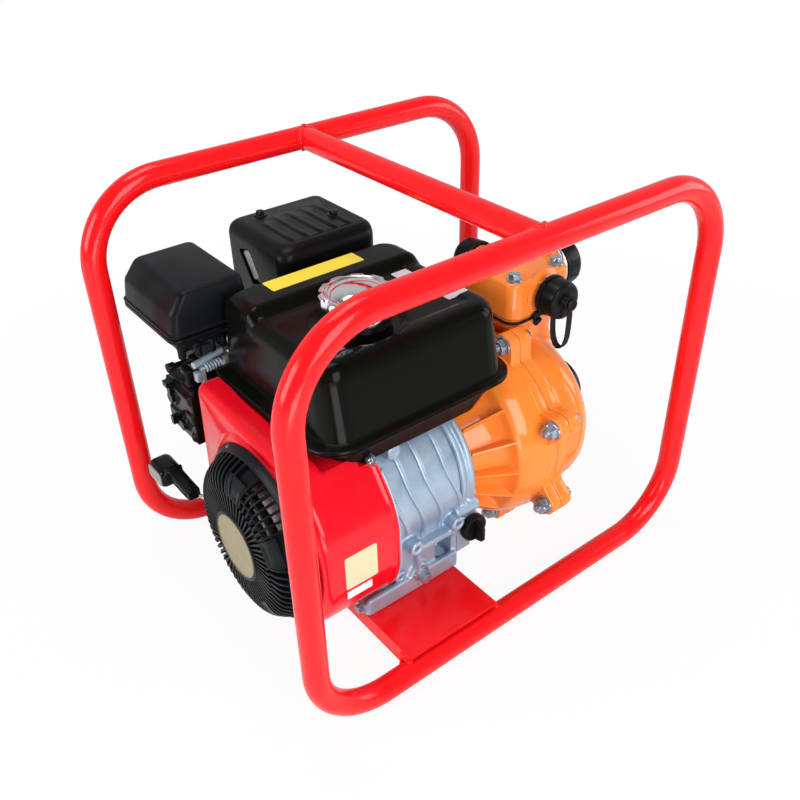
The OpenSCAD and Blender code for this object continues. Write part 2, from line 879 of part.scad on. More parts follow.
module control_bracket() {
    sheet = 2;
    color(zinc) at_engine() difference() {
        union() {
            translate([throttle_u - 6, throttle_v - 10, throttle_w - 10]) cube([44, 20, sheet]);
            translate([throttle_u + 10, throttle_v + 8, throttle_w - 10]) cube([28, sheet, 18]);
            translate([throttle_u + 30, throttle_v - 10, throttle_w - 10]) cube([sheet, 20, 12]);
            along_u(throttle_u + 14, throttle_v - 5, throttle_w - 3) cylinder(r = 2, h = 18);
        }
        translate([throttle_u, throttle_v, throttle_w - 11]) cylinder(r = lever_pin_r + run_gap, h = 4);
    }
}

module throttle_lever() {
    rod_r = 3.2;
    color(black) at_engine() {
        translate([throttle_u, throttle_v, throttle_w - 13]) cylinder(r = lever_pin_r, h = 8);
        translate([throttle_u, throttle_v, throttle_w - 7.7]) cylinder(r = 5, h = 8);
        along_u(throttle_u - 26, throttle_v, throttle_w - 3.5) cylinder(r = rod_r, h = 24);
        along_u(throttle_u - 30, throttle_v, throttle_w - 3.5) cylinder(r = 5, h = 8);
    }
}

// The speed limit screw's spring: one wire, wound as a helix
spring_turns = 6;
spring_wire = 0.55;
spring_r = 3.6;
spring_l = 14;
spring_steps = 8;
spring_path = [for (i = [0 : spring_turns * spring_steps])
    let (a = 360 * i / spring_steps)
    [spring_l * i / (spring_turns * spring_steps), spring_r * cos(a), spring_r * sin(a)]];
spring_last = len(spring_path) - 1;
spring_gap = min([for (i = [0 : spring_last], j = [i + spring_steps / 2 : 1 : spring_last])
    norm(spring_path[i] - spring_path[j])]) - 2 * spring_wire;
echo(limit_spring_least_gap = spring_gap);

module limit_spring() {
    color(zinc) at_engine() translate([throttle_u + 15, throttle_v - 5, throttle_w - 3])
        sweep(spring_path, spring_wire, 6);
}

elbow_u = 66;
elbow_l = 30;

module air_cleaner_base() {
    tray_h = 16;
    tray_w0 = cleaner_w0 - tray_h;
    tray_in = 8;
    color(black) at_engine() difference() {
        union() {
            translate([cleaner_u, cleaner_v, cleaner_w0 - 5])
                linear_extrude(5) rounded(cleaner_l, cleaner_w, 10);
            translate([cleaner_u + tray_in, cleaner_v + tray_in, tray_w0])
                linear_extrude(tray_h) rounded(cleaner_l - 2 * tray_in, cleaner_w - 2 * tray_in, 8);
            translate([elbow_u, carb_v - 14, carb_w - 20]) cube([elbow_l, 38, 50]);
            translate([elbow_u, carb_v + 4, carb_w + 20]) cube([elbow_l, 24, tray_w0 - carb_w - 19]);
        }
        along_u(elbow_u + 5, carb_v, carb_w) cylinder(r = 11, h = 40);
        translate([elbow_u + 5, carb_v - 8, carb_w - 9]) cube([20, 26, 18]);
        translate([elbow_u + 5, carb_v + 7, carb_w - 9]) cube([20, 18, 120]);
    }
}

module filter_element() {
    color("#c8b45a") at_engine() translate([cleaner_u + 14, cleaner_v + 16, cleaner_w0])
        linear_extrude(cleaner_h - 18)
        difference() {
            rounded(cleaner_l - 28, cleaner_w - 32, 16);
            translate([12, 12]) rounded(cleaner_l - 52, cleaner_w - 56, 8);
        }
}

// The air cleaner's tapered hood, set in from its outline all round
module hood(inset, low, high) {
    l = cleaner_l - 2 * inset;
    w = cleaner_w - 2 * inset;
    taper = 7;
    left = 19;
    hull() translate([inset, inset, 0]) {
        translate([0, 0, low]) linear_extrude(8 - low) rounded(l, w, 9, $fn = 32);
        translate([5, 3, high - 20]) linear_extrude(1) rounded(l - 8, w - 6, 9, $fn = 32);
        translate([left, taper, high - 1])
            linear_extrude(1) rounded(l - left - 6, w - 2 * taper, 6, $fn = 32);
    }
}

module air_cleaner_cover() {
    wall = 2.5;
    color(black) at_engine() translate([cleaner_u, cleaner_v, cleaner_w0 + 0.3]) difference() {
        hood(0, 0, cleaner_h);
        hood(wall, -1, cleaner_h - wall);
    }
}

shield_gap = 5;
exhaust_u = muffler_u + muffler_l - 30;
exhaust_w = muffler_w0 + 30;

module muffler() {
    pipe_r = 14;
    wall = 1.5;
    pipe_u = cyl_u + head_half_u + pipe_r + 4;
    in_u = muffler_u + shield_gap;
    in_v = muffler_v + shield_gap;
    in_l = muffler_l - 2 * shield_gap;
    in_w = muffler_w - 2 * shield_gap;
    in_h = muffler_h - shield_gap - 4;
    color(steel) at_engine() difference() {
        union() {
            translate([in_u, in_v, muffler_w0 + 4]) linear_extrude(in_h - 4) rounded(in_l, in_w, 14);
            translate([pipe_u, carb_v, carb_w]) cylinder(r = pipe_r, h = muffler_w0 - carb_w + 5);
            along_u(cyl_u + head_half_u, carb_v, carb_w) cylinder(r = pipe_r, h = pipe_r + 4);
            translate([pipe_u, carb_v, carb_w]) sphere(r = pipe_r);
            translate([cyl_u + head_half_u, carb_v - 22, carb_w - 16]) cube([6, 44, 32]);
            along_v(exhaust_u, muffler_far - 20, exhaust_w) cylinder(r = exhaust_r + 2, h = 20);
        }
        translate([in_u + wall, in_v + wall, muffler_w0 + 4 + wall])
            linear_extrude(in_h - 4 - 2 * wall) rounded(in_l - 2 * wall, in_w - 2 * wall, 12.5);
        translate([pipe_u, carb_v, carb_w]) cylinder(r = pipe_r - 2, h = muffler_w0 - carb_w + 10);
        along_u(cyl_u + head_half_u - 1, carb_v, carb_w) cylinder(r = pipe_r - 4, h = pipe_r + 4);
        along_v(exhaust_u, muffler_far - 24, exhaust_w) cylinder(r = exhaust_r, h = 30);
    }
}

module muffler_shield() {
    sheet = 1.5;
    ribs = 5;
    rib_gap = 14;
    color(black) at_engine() translate([muffler_u, muffler_v, muffler_w0]) difference() {
        union() {
            linear_extrude(muffler_h - 2) rounded(muffler_l, muffler_w, 18);
            for (k = [0 : ribs - 1]) translate([24 + k * rib_gap, 16, muffler_h - 3])
                cube([7, muffler_w - 40, 3]);
        }
        translate([sheet, sheet, -1]) linear_extrude(muffler_h - 1 - sheet)
            rounded(muffler_l - 2 * sheet, muffler_w - 2 * sheet, 18 - sheet);
        translate([-1, 14, 30]) cube([4, 18, 30]);
        along_v(exhaust_u - muffler_u, muffler_w - 5, exhaust_w - muffler_w0)
            cylinder(r = exhaust_r + 4, h = 10);
        for (p = shield_bolts) translate([p[0], p[1], muffler_h - 10]) cylinder(r = 3.2, h = 20);
    }
}

shield_bolts = [[38, 106], [102, 52]];

module muffler_bolts() {
    shank = 4.4;
    color(black) at_engine() translate([muffler_u, muffler_v, muffler_w0])
        for (p = shield_bolts) translate([p[0], p[1], muffler_h - 2]) flange_bolt(6, 9, shank);
}

// One level of the tank's body, set in by the same amount all round
module tank_level(u, l, v, w, height, r, inset) {
    translate([u + inset, v + inset, height])
        linear_extrude(0.5) rounded(l - 2 * inset, w - 2 * inset, r, $fn = 32);
}

// The tank's closed body: sump, upper shell and the raised shelf along its far side
module tank_form(inset) {
    u = rim_u + rim_lip;
    l = rim_l - 2 * rim_lip;
    v = rim_v + rim_lip;
    w = rim_w - rim_lip - far_lip;
    shelf = v + w - plateau_v;
    top = seam_w + tank_h - inset;
    hull() {
        tank_level(u, l, v, w, seam_w, 26, inset);
        tank_level(u + 6, l - 7, v + 14, w - 14, top - tank_edge, 22, inset);
        tank_level(u + 15, l - 25, v + 24, w - 34, top - 0.5, 16, inset);
    }
    hull() {
        tank_level(u + 5, l - 6, plateau_v - 2, shelf + 2, top - tank_edge - 4, 20, inset);
        tank_level(u + 6, l - 8, plateau_v + 4, shelf - 4, top + plateau_h - tank_edge, 16, inset);
        tank_level(u + 15, l - 26, plateau_v + 12, shelf - 21, top + plateau_h - 0.5, 8, inset);
    }
    hull() {
        tank_level(u, l, v, w, seam_w - 0.4, 26, inset);
        tank_level(u + 8, l - 40, v + 8, w - 70, seam_w - tank_sump + inset, 20, inset);
        tank_level(u + 8, l - 28, v + 8, w - 16, seam_w - tank_sump / 2 + inset, 20, inset);
    }
}

module fuel_tank() {
    top_w = seam_w + tank_h;
    color(black) at_engine() difference() {
        union() {
            tank_form(0);
            translate([rim_u, rim_v, seam_w - seam_t / 2])
                linear_extrude(seam_t) rounded(rim_l, rim_w, rim_corner);
            translate([cap_u, cap_v, top_w - 6]) cylinder(r = neck_r, h = neck_h + 6);
        }
        tank_form(tank_t);
        translate([cap_u, cap_v, top_w - 12]) cylinder(r = neck_r - neck_wall, h = neck_h + 20);
    }
}

module fuel_cap() {
    lobes = 6;
    lobe_r = 7;
    skirt_gap = 0.4;
    color("#d5d8dc") at_engine() translate([cap_u, cap_v, seam_w + tank_h + skirt_gap]) difference() {
        union() {
            cylinder(r = fuel_cap_r - 3, h = cap_h - 4);
            translate([0, 0, cap_h - 16]) cylinder(r = fuel_cap_r - 4, h = 16);
            for (k = [0 : lobes - 1]) rotate(k * 360 / lobes)
                translate([fuel_cap_r - lobe_r, 0, cap_h - 16]) cylinder(r = lobe_r, h = 10);
        }
        translate([0, 0, -1]) cylinder(r = neck_r + run_gap, h = neck_h + 3);
    }
}

// Angles of the casing bolts, from v towards w
bolt_angles = [for (k = [0 : casing_bolts_n - 1]) first_bolt_a + k * 360 / casing_bolts_n];

module at_casing_bolts(u) {
    for (a = bolt_angles) along_u(u, casing_bolt_r * cos(a), casing_bolt_r * sin(a)) children();
}

// The ears around the casing bolts, with their webs to the flange, each set back a little
module flange_ears(u, t) {
    root = flange_r - 9;
    back = 1.5 * ear_step;
    at_casing_bolts(u) cylinder(r = ear_r, h = t);
    for (a = bolt_angles) rotate([a, 0, 0]) translate([u + back, root, back - ear_r])
        cube([t - 2 * back, casing_bolt_r - root, 2 * (ear_r - back)]);
}

mouth_r = 94;

module pump_rear_casing() {
    ribs = 16;
    rib_t = 3;
    color(orange) at_engine() difference() {
        union() {
            along_u(0) rotate_extrude() polygon([
                [40, pump_u], [bell_r, pump_u], [bell_r, pump_u + 6], [bell_r + 2, pump_u + 6],
                [shoulder_r - 15, shoulder_u - 2], [shoulder_r, shoulder_u],
                [shoulder_r + 5, shoulder_u + 10], [flange_r - 1, flange_u - 11],
                [flange_r, flange_u], [flange_r, joint_u],
                [mouth_r, joint_u], [mouth_r, flange_u], [14, flange_u], [14, pump_wall_u],
                [mouth_r - 2, pump_wall_u], [mouth_r - 2, shoulder_u + 10], [shoulder_r - 23, shoulder_u],
                [bell_r - 6, pump_u + 10], [bell_r - 6, pump_u + 6], [40, pump_u + 6]]);
            flange_ears(nut_seat_u, joint_u - nut_seat_u - ear_step);
            slab_ribs(ribs, rib_t);
            at_pump_lugs() along_u(pump_u) cylinder(r = 11, h = lug_t);
        }
        at_casing_bolts(flange_u - 1) cylinder(d = bolt_hole, h = rear_flange_t + 2);
        at_pump_lugs() along_u(pump_u - 1) cylinder(d = bolt_hole, h = 20);
        at_pump_lugs() along_u(pump_u + lug_t) cylinder(r = 10, h = 22);
        at_cover_bolts() along_u(pump_u - 1) cylinder(r = 7.6, h = 8);
    }
}

// Stiffening ribs of the bell, from the engine flange to the shoulder
module slab_ribs(n, t) {
    for (k = [0 : n - 1]) rotate([k * 360 / n, 0, 0]) translate([0, 0, -t / 2])
        linear_extrude(t) polygon([[pump_u + 6, bell_r - 4], [pump_u + 6, bell_r + 8],
            [shoulder_u + 1, shoulder_r], [shoulder_u + 1, shoulder_r - 18]]);
}

chamber_r = impeller_r + 6;

module pump_front_casing() {
    neck_u0 = 366;
    neck_w0 = 70;
    plate_t = 10;
    color(orange) at_engine() difference() {
        union() {
            along_u(joint_u) cylinder(r = flange_r, h = front_flange_t);
            flange_ears(joint_u + ear_step, bolt_seat_u - joint_u - ear_step);
            along_u(volute_u) rotate_extrude() translate([volute_ring_r, 0]) circle(volute_tube_r);
            along_u(joint_u + 5) cylinder(r = volute_ring_r, h = volute_u + 34 - joint_u - 5);
            along_u(volute_u) cylinder(r = suction_r + 4, h = suction_u - volute_u);
            along_u(suction_u - 1) cylinder(r = suction_r, h = thread_l + 1);
            translate([neck_u0, manifold_v + 10, neck_w0])
                linear_extrude(manifold_w0 - 1 - neck_w0) rounded(62, manifold_w - 20, 12);
            translate([manifold_u, manifold_v, manifold_w0 - 1 - plate_t])
                linear_extrude(plate_t) rounded(manifold_l, manifold_w, manifold_corner);
        }
        along_u(joint_u - 1) cylinder(r = chamber_r, h = 24);
        along_u(volute_u) rotate_extrude() translate([water_ring_r, 0]) circle(water_tube_r);
        along_u(joint_u) cylinder(r = suction_r - port_wall, h = 200);
        translate([manifold_u + manifold_l / 2, main_v, 50]) cylinder(r = 22, h = 100);
        at_casing_bolts(joint_u - 1) cylinder(d = bolt_hole, h = front_flange_t + 2);
        at_manifold_bolts() translate([0, 0, manifold_w0 - 9.5]) cylinder(d = bolt_d + 0.1, h = 20);
        at_casing_bolts(bolt_seat_u) cylinder(r = 10.5, h = 12);
    }
}

module casing_bolts() {
    grip = bolt_seat_u - nut_seat_u;
    color(zinc) at_engine() {
        at_casing_bolts(bolt_seat_u) flange_bolt(bolt_d, hex_af, grip + nut_h + 4);
        at_casing_bolts(nut_seat_u - nut_h) hex(hex_af, nut_h);
    }
}

module mechanical_seal() {
    color(steel) at_engine() along_u(pump_wall_u - 16) difference() {
        union() {
            cylinder(r = 20, h = 16);
            translate([0, 0, 15]) cylinder(r = 13.9, h = 8);
        }
        translate([0, 0, -1]) cylinder(r = shaft_r + run_gap, h = 40);
    }
}

module impeller() {
    blades = 6;
    plate_t = 4;
    eye_r = suction_r - port_wall - 1;
    color("#9a7a3a") at_engine() difference() {
        union() {
            along_u(impeller_u) cylinder(r = impeller_r, h = plate_t);
            along_u(impeller_u) cylinder(r = 15, h = impeller_l);
            along_u(impeller_u + impeller_l - plate_t) difference() {
                cylinder(r = impeller_r, h = plate_t);
                translate([0, 0, -1]) cylinder(r = eye_r, h = plate_t + 2);
            }
            for (k = [0 : blades - 1]) rotate([k * 360 / blades, 0, 0])
                translate([impeller_u + 1, 12, 0]) rotate([30, 0, 0]) translate([0, 6, 0])
                    cube([impeller_l - 2, 30, 4]);
        }
        along_u(impeller_u - 1) cylinder(r = shaft_r, h = impeller_l + 2);
    }
}

module impeller_nut() {
    color(zinc) at_engine() along_u(impeller_u + impeller_l) difference() {
        union() {
            hex(18, 9);
            translate([0, 0, 8]) cylinder(r1 = 8, r2 = 4, h = 6);
        }
        translate([0, 0, -1]) cylinder(r = 6, h = 11.5);
    }
}

module at_manifold_bolts() {
    in = manifold_bolt_in;
    for (u = [in, manifold_l - in], v = [in, manifold_w - in])
        translate([manifold_u + u, manifold_v + v, 0]) children();
}

manifold_far = manifold_v + manifold_w;
manifold_end = manifold_u + manifold_l;
near_seat = manifold_v - neck_l;
far_seat = manifold_far + far_neck_l;
main_seat = manifold_end + main_neck_l;

module discharge_manifold() {
    shell = 9;
    color(orange) at_engine() difference() {
        union() {
            translate([manifold_u, manifold_v, manifold_w0])
                linear_extrude(manifold_h) rounded(manifold_l, manifold_w, manifold_corner);
            against_v(outlet_u, manifold_v + 1, outlet_w) cylinder(r = side_r + 2, h = neck_l + 1);
            against_v(outlet_u, near_seat + 1, outlet_w) cylinder(r = side_r, h = thread_l + 1);
            along_v(outlet_u, manifold_far - 1, outlet_w) cylinder(r = side_r + 2, h = far_neck_l + 1);
            along_v(outlet_u, far_seat - 1, outlet_w) cylinder(r = side_r, h = thread_l + 1);
            intersection() {
                along_u(manifold_end - 1, main_v, outlet_w) cylinder(r = main_r + 2, h = main_neck_l + 1);
                translate([manifold_u, manifold_v, manifold_w0]) cube([200, manifold_w, 60]);
            }
            along_u(main_seat - 1, main_v, outlet_w) cylinder(r = main_r, h = ring_t + thread_l + 1);
        }
        translate([manifold_u + shell, manifold_v + 26, manifold_w0 - 1])
            linear_extrude(manifold_h - shell) rounded(manifold_l - 2 * shell, manifold_w - 52, 10);
        against_v(outlet_u, main_v, outlet_w) cylinder(r = side_r - 4.5, h = 200);
        along_v(outlet_u, main_v, outlet_w) cylinder(r = side_r - 4.5, h = 200);
        along_u(outlet_u, main_v, outlet_w) cylinder(r = main_r - 8, h = 200);
        at_manifold_bolts() translate([0, 0, manifold_w0 - 1]) cylinder(d = bolt_hole, h = manifold_h + 2);
    }
}

module manifold_bolts() {
    color(zinc) at_engine() at_manifold_bolts() translate([0, 0, manifold_w0 + manifold_h])
        flange_bolt(bolt_d, hex_af, manifold_h + 9);
}

module outlet_ring() {
    color(alloy) at_engine() along_u(main_seat, main_v, outlet_w) difference() {
        cylinder(r = main_r + 5, h = ring_t);
        translate([0, 0, -1]) cylinder(r = main_r, h = ring_t + 2);
    }
}

// A rubber cord laid round the manifold's foot, which keeps the caps with the pump
tether_r = 1.6;

// The manifold's outline, grown all round
module around_manifold(out) {
    translate([-out, -out])
        rounded(manifold_l + 2 * out, manifold_w + 2 * out, manifold_corner + out);
}

module cap_tether() {
    inside = 0.1;
    below = 2.4;
    color(black) at_engine() translate([manifold_u, manifold_v, manifold_w0 - below])
        linear_extrude(2 * tether_r, center = true) difference() {
            around_manifold(inside + 2 * tether_r);
            around_manifold(inside);
        }
}

// A moulded screw cap: mouth at Z = 0, closed end and two-step knob up
module port_cap(thread_r) {
    knob_r = 8;
    grips = 8;
    difference() {
        union() {
            cylinder(r = thread_r + cap_wall, h = cap_depth);
            for (k = [0 : grips - 1]) rotate(k * 360 / grips)
                translate([thread_r + cap_wall - 1, -2.5, 0]) cube([2.5, 5, cap_depth - 6]);
            translate([0, 0, cap_depth - 1]) cylinder(r = knob_r, h = 6);
            translate([0, 0, cap_depth + 4]) cylinder(r = knob_r - 2.5, h = 4);
            translate([0, 0, cap_depth + 7]) cylinder(r = knob_r - 1, h = 3);
        }
        translate([0, 0, -1]) cylinder(r = thread_r + run_gap, h = thread_l + 1.3);
    }
}

cap_seat = 0.3;

module near_cap() {
    color(black) at_engine() against_v(outlet_u, near_seat - cap_seat, outlet_w) port_cap(side_r);
}

// The near cap's rubber strap: a ring on the knob's neck and a loop hanging from it
module near_strap() {
    strap_t = 1.6;
    strap_w = 6;
    knob_v = near_seat - cap_seat - cap_depth - 5.2;
    loop_r = 12;
    loop_w = outlet_w - 34;
    color(black) at_engine() {
        against_v(outlet_u, knob_v, outlet_w) difference() {
            cylinder(r = 8.5, h = strap_t);
            translate([0, 0, -1]) cylinder(r = 5.5, h = 4);
        }
        slab_u(outlet_u - strap_w / 2, strap_w) translate([knob_v + loop_r - strap_t, 0]) {
            translate([-loop_r, loop_w]) square([strap_t, outlet_w - loop_w - 7]);
            translate([loop_r - strap_t, loop_w])
                square([strap_t, outlet_w - loop_w - side_r - cap_wall - 1.5]);
            translate([0, loop_w]) difference() {
                circle(loop_r);
                circle(loop_r - strap_t);
                translate([-loop_r - 1, 0]) square([2 * loop_r + 2, loop_r + 1]);
            }
        }
    }
}

module far_cap() {
    color(black) at_engine() along_v(outlet_u, far_seat + cap_seat, outlet_w) port_cap(side_r);
}

module main_cap() {
    color(black) at_engine() along_u(main_seat + ring_t + cap_seat, main_v, outlet_w) port_cap(main_r);
}

module suction_cap() {
    color(black) at_engine() along_u(suction_u + cap_seat) port_cap(suction_r);
}

near_hoop();
far_hoop();
top_bar();
base_channel();
engine_bolts();
crankcase();
crankcase_cover();
cover_bolts();
drain_plug();
main_bearings();
cylinder_head();
rocker_cover();
piston();
connecting_rod();
spark_plug();
plug_lead();
ignition_coil();
fan_shroud();
shroud_screws();
recoil_cover();
medallion();
crankshaft();
flywheel();
starter_cup();
flywheel_nut();
rope_reel();
rope_turns();
starter_rope();
pull_handle();
carburettor();
control_panel();
choke_lever();
fuel_lever();
control_bracket();
throttle_lever();
limit_spring();
air_cleaner_base();
filter_element();
air_cleaner_cover();
muffler();
muffler_shield();
muffler_bolts();
fuel_tank();
fuel_cap();
oil_filler_cap();
pump_rear_casing();
pump_front_casing();
casing_bolts();
mechanical_seal();
impeller();
impeller_nut();
discharge_manifold();
manifold_bolts();
outlet_ring();
cap_tether();
near_cap();
near_strap();
far_cap();
main_cap();
suction_cap();
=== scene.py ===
import json
import math

import bmesh
import bpy
from mathutils import Matrix, Vector


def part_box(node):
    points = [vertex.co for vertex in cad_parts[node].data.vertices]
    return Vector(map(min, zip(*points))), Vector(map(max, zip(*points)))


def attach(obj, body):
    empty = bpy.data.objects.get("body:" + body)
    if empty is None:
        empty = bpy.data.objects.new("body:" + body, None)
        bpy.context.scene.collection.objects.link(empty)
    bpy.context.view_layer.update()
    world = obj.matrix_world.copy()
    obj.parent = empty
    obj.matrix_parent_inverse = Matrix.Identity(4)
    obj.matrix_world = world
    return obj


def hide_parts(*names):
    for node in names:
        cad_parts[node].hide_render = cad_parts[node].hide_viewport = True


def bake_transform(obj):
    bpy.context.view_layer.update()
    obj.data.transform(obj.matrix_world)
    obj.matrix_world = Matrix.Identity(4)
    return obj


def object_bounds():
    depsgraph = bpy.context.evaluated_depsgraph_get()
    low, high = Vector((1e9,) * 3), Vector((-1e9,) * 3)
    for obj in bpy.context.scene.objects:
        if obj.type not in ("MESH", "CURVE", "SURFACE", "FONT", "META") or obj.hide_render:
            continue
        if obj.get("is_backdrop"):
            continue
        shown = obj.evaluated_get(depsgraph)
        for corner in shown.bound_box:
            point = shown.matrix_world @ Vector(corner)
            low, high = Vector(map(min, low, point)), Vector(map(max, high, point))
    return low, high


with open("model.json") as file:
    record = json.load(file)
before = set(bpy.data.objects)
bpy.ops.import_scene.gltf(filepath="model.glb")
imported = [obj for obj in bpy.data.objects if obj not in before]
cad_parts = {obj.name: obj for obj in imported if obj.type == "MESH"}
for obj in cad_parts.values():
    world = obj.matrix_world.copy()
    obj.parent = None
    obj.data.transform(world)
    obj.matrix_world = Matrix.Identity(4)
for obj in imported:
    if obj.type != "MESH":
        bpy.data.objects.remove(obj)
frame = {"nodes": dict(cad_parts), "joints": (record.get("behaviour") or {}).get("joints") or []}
cad_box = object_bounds()
scene = bpy.context.scene
scene.view_settings.view_transform = "Standard"

# The view: the pump seen from the corner of the recoil starter and the oil filler, from above.
# The camera's three axes and its place are the ones that the photograph was taken with.
EYE = Vector((-0.4967, -0.6539, 0.7372))
RIGHT = Vector((0.78631, -0.61743, -0.02191))
UP = Vector((0.36136, 0.43085, 0.82691))
camera = bpy.data.objects.new("view", bpy.data.cameras.new("view"))
camera.data.lens = 39.63
camera.data.sensor_width = 36.0
camera.data.clip_start = 0.01
camera.matrix_world = (
    Matrix.Translation(EYE) @ Matrix((RIGHT, UP, RIGHT.cross(UP))).transposed().to_4x4()
)
scene.collection.objects.link(camera)
scene.camera = camera

# The studio: a pale sweep under the pump, soft boxes over it and round it, and a bright room.
# The floor is white to the lens and keeps the pump's shadow.


def linear(code):
    """An sRGB hex colour as linear RGBA."""
    parts = [int(code[i:i + 2], 16) / 255 for i in (1, 3, 5)]
    return [c / 12.92 if c <= 0.04045 else ((c + 0.055) / 1.055) ** 2.4 for c in parts] + [1.0]


def fed(tree, made, inputs):
    """Sets or links the inputs of a node."""
    for name, value in inputs.items():
        if isinstance(value, bpy.types.NodeSocket):
            tree.links.new(value, made.inputs[name])
        else:
            made.inputs[name].default_value = value


def node(tree, kind, settings=None, inputs=None):
    """Adds a node with its settings, and sets or links its inputs."""
    made = tree.nodes.new(kind)
    for name, value in (settings or {}).items():
        setattr(made, name, value)
    fed(tree, made, inputs or {})
    return made


FLOOR_HALF = 30.0
floor_mesh = bpy.data.meshes.new("floor")
floor_corners = [(-1, -1), (1, -1), (1, 1), (-1, 1)]
floor_mesh.from_pydata([(x * FLOOR_HALF, y * FLOOR_HALF, -0.0005) for x, y in floor_corners], [], [(0, 1, 2, 3)])
floor = bpy.data.objects.new("floor", floor_mesh)
scene.collection.objects.link(floor)
floor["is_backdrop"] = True
sweep_paper = bpy.data.materials.new("white sweep paper")
sweep_paper.use_nodes = True
t = sweep_paper.node_tree
t.nodes.clear()
rays = node(t, "ShaderNodeLightPath")
# Near the pump the paper keeps some of its own shade, and further out it runs into white.
spot = node(t, "ShaderNodeVectorMath", {"operation": "LENGTH"}, {0: node(t, "ShaderNodeTexCoord").outputs["Object"]})
fade = node(t, "ShaderNodeMapRange", {"interpolation_type": "SMOOTHSTEP"},
            {"Value": spot.outputs["Value"], "From Min": 0.35, "From Max": 1.1, "To Min": 0.92, "To Max": 1.0})
mirrored = node(t, "ShaderNodeMath", {"operation": "MULTIPLY"}, {0: rays.outputs["Is Glossy Ray"], 1: 0.3})
seen = node(t, "ShaderNodeMath", {"operation": "MAXIMUM"}, {0: rays.outputs["Is Camera Ray"], 1: mirrored.outputs[0]})
lit = node(t, "ShaderNodeMath", {"operation": "MULTIPLY"}, {0: seen.outputs[0], 1: fade.outputs["Result"]})
paper = node(t, "ShaderNodeBsdfDiffuse", None, {"Color": linear("#F4F4F4")})
glow = node(t, "ShaderNodeEmission", None, {"Color": (1, 1, 1, 1), "Strength": 1.0})
mixed = node(t, "ShaderNodeMixShader", None, {0: lit.outputs[0], 1: paper.outputs[0], 2: glow.outputs[0]})
node(t, "ShaderNodeOutputMaterial", None, {"Surface": mixed.outputs[0]})
floor_mesh.materials.append(sweep_paper)

room = bpy.data.worlds.new("studio room")
room.use_nodes = True
t = room.node_tree
t.nodes.clear()
rays = node(t, "ShaderNodeLightPath")
way = node(t, "ShaderNodeTexCoord")
# The photographer's side of the room is dim, so gloss black stays black where it faces the lens.
facing = node(t, "ShaderNodeVectorMath", {"operation": "DOT_PRODUCT"},
              {0: way.outputs["Generated"], 1: EYE.normalized()})
side = node(t, "ShaderNodeMapRange", {"interpolation_type": "SMOOTHSTEP"},
            {"Value": facing.outputs["Value"], "From Min": -0.2, "From Max": 0.75, "To Min": 0.56, "To Max": 0.12})
level = node(t, "ShaderNodeMath", {"operation": "MAXIMUM"},
             {0: rays.outputs["Is Camera Ray"], 1: side.outputs["Result"]})
back = node(t, "ShaderNodeBackground", None, {"Color": (1, 1, 1, 1), "Strength": level.outputs[0]})
node(t, "ShaderNodeOutputWorld", None, {"Surface": back.outputs[0]})
scene.world = room

SOFT_BOXES = [
    ("top box", (-0.1, 0.3, 1.9), 0.8, 0.8, 9.0),
    ("left box", (-2.1, 0.3, 1.0), 1.2, 1.2, 28.0),
    ("near box", (-0.35, -1.9, 1.3), 1.0, 1.7, 31.0),
    ("right box", (1.9, -1.1, 0.8), 1.2, 1.0, 13.0),
    ("low box", (-0.62, -1.12, 0.05), 0.55, 0.5, 4.5),
]
AIM = Vector((0.0, 0.0, 0.2))
for name, place, wide, high, watts in SOFT_BOXES:
    lamp = bpy.data.lights.new(name, "AREA")
    lamp.shape = "RECTANGLE"
    lamp.size = wide
    lamp.size_y = high
    lamp.energy = watts
    light = bpy.data.objects.new(name, lamp)
    light.location = place
    light.rotation_euler = (AIM - Vector(place)).to_track_quat("-Z", "Y").to_euler()
    scene.collection.objects.link(light)

# Frame hoops: 25 mm round steel tube, bent to two closed hoops and welded at the foot.
# Both are powder coated bright red, with a little orange peel in the gloss.


def filleted(corners, n):
    """A closed outline from corners (x, y, radius), with an arc of n steps in place of each corner."""
    out = []
    for i, (x, y, r) in enumerate(corners):
        p = Vector((x, y))
        a = Vector(corners[i - 1][:2]) - p
        b = Vector(corners[(i + 1) % len(corners)][:2]) - p
        half = a.angle(b) / 2
        reach = min(r / math.tan(half), 0.499 * a.length, 0.499 * b.length)
        r = reach * math.tan(half)
        centre = p + (a.normalized() + b.normalized()).normalized() * (r / math.sin(half))
        first = p + a.normalized() * reach - centre
        end = p + b.normalized() * reach - centre
        start = math.atan2(first.y, first.x)
        turn = (math.atan2(end.y, end.x) - start + math.pi) % (2 * math.pi) - math.pi
        for k in range(n + 1):
            angle = start + turn * k / n
            out.append(centre + r * Vector((math.cos(angle), math.sin(angle))))
    return out


def rounded(x0, y0, x1, y1, r, n):
    """A rectangle with round corners. r is one radius, or one for each corner."""
    radii = r if isinstance(r, tuple) else (r,) * 4
    corners = ((x0, y0), (x1, y0), (x1, y1), (x0, y1))
    return filleted([(x, y, each) for (x, y), each in zip(corners, radii)], n)


def loft(bm, loops, caps=True, ring=False):
    """Joins loops of equal count with quads. Caps close the two ends, ring joins the last to the first."""
    rows = [[bm.verts.new(p) for p in loop] for loop in loops]
    pairs = list(zip(rows, rows[1:])) + ([(rows[-1], rows[0])] if ring else [])
    for a, b in pairs:
        for i in range(len(a)):
            j = (i + 1) % len(a)
            bm.faces.new((a[i], a[j], b[j], b[i]))
    if caps and not ring:
        bm.faces.new(rows[0][::-1])
        bm.faces.new(rows[-1])
    return rows


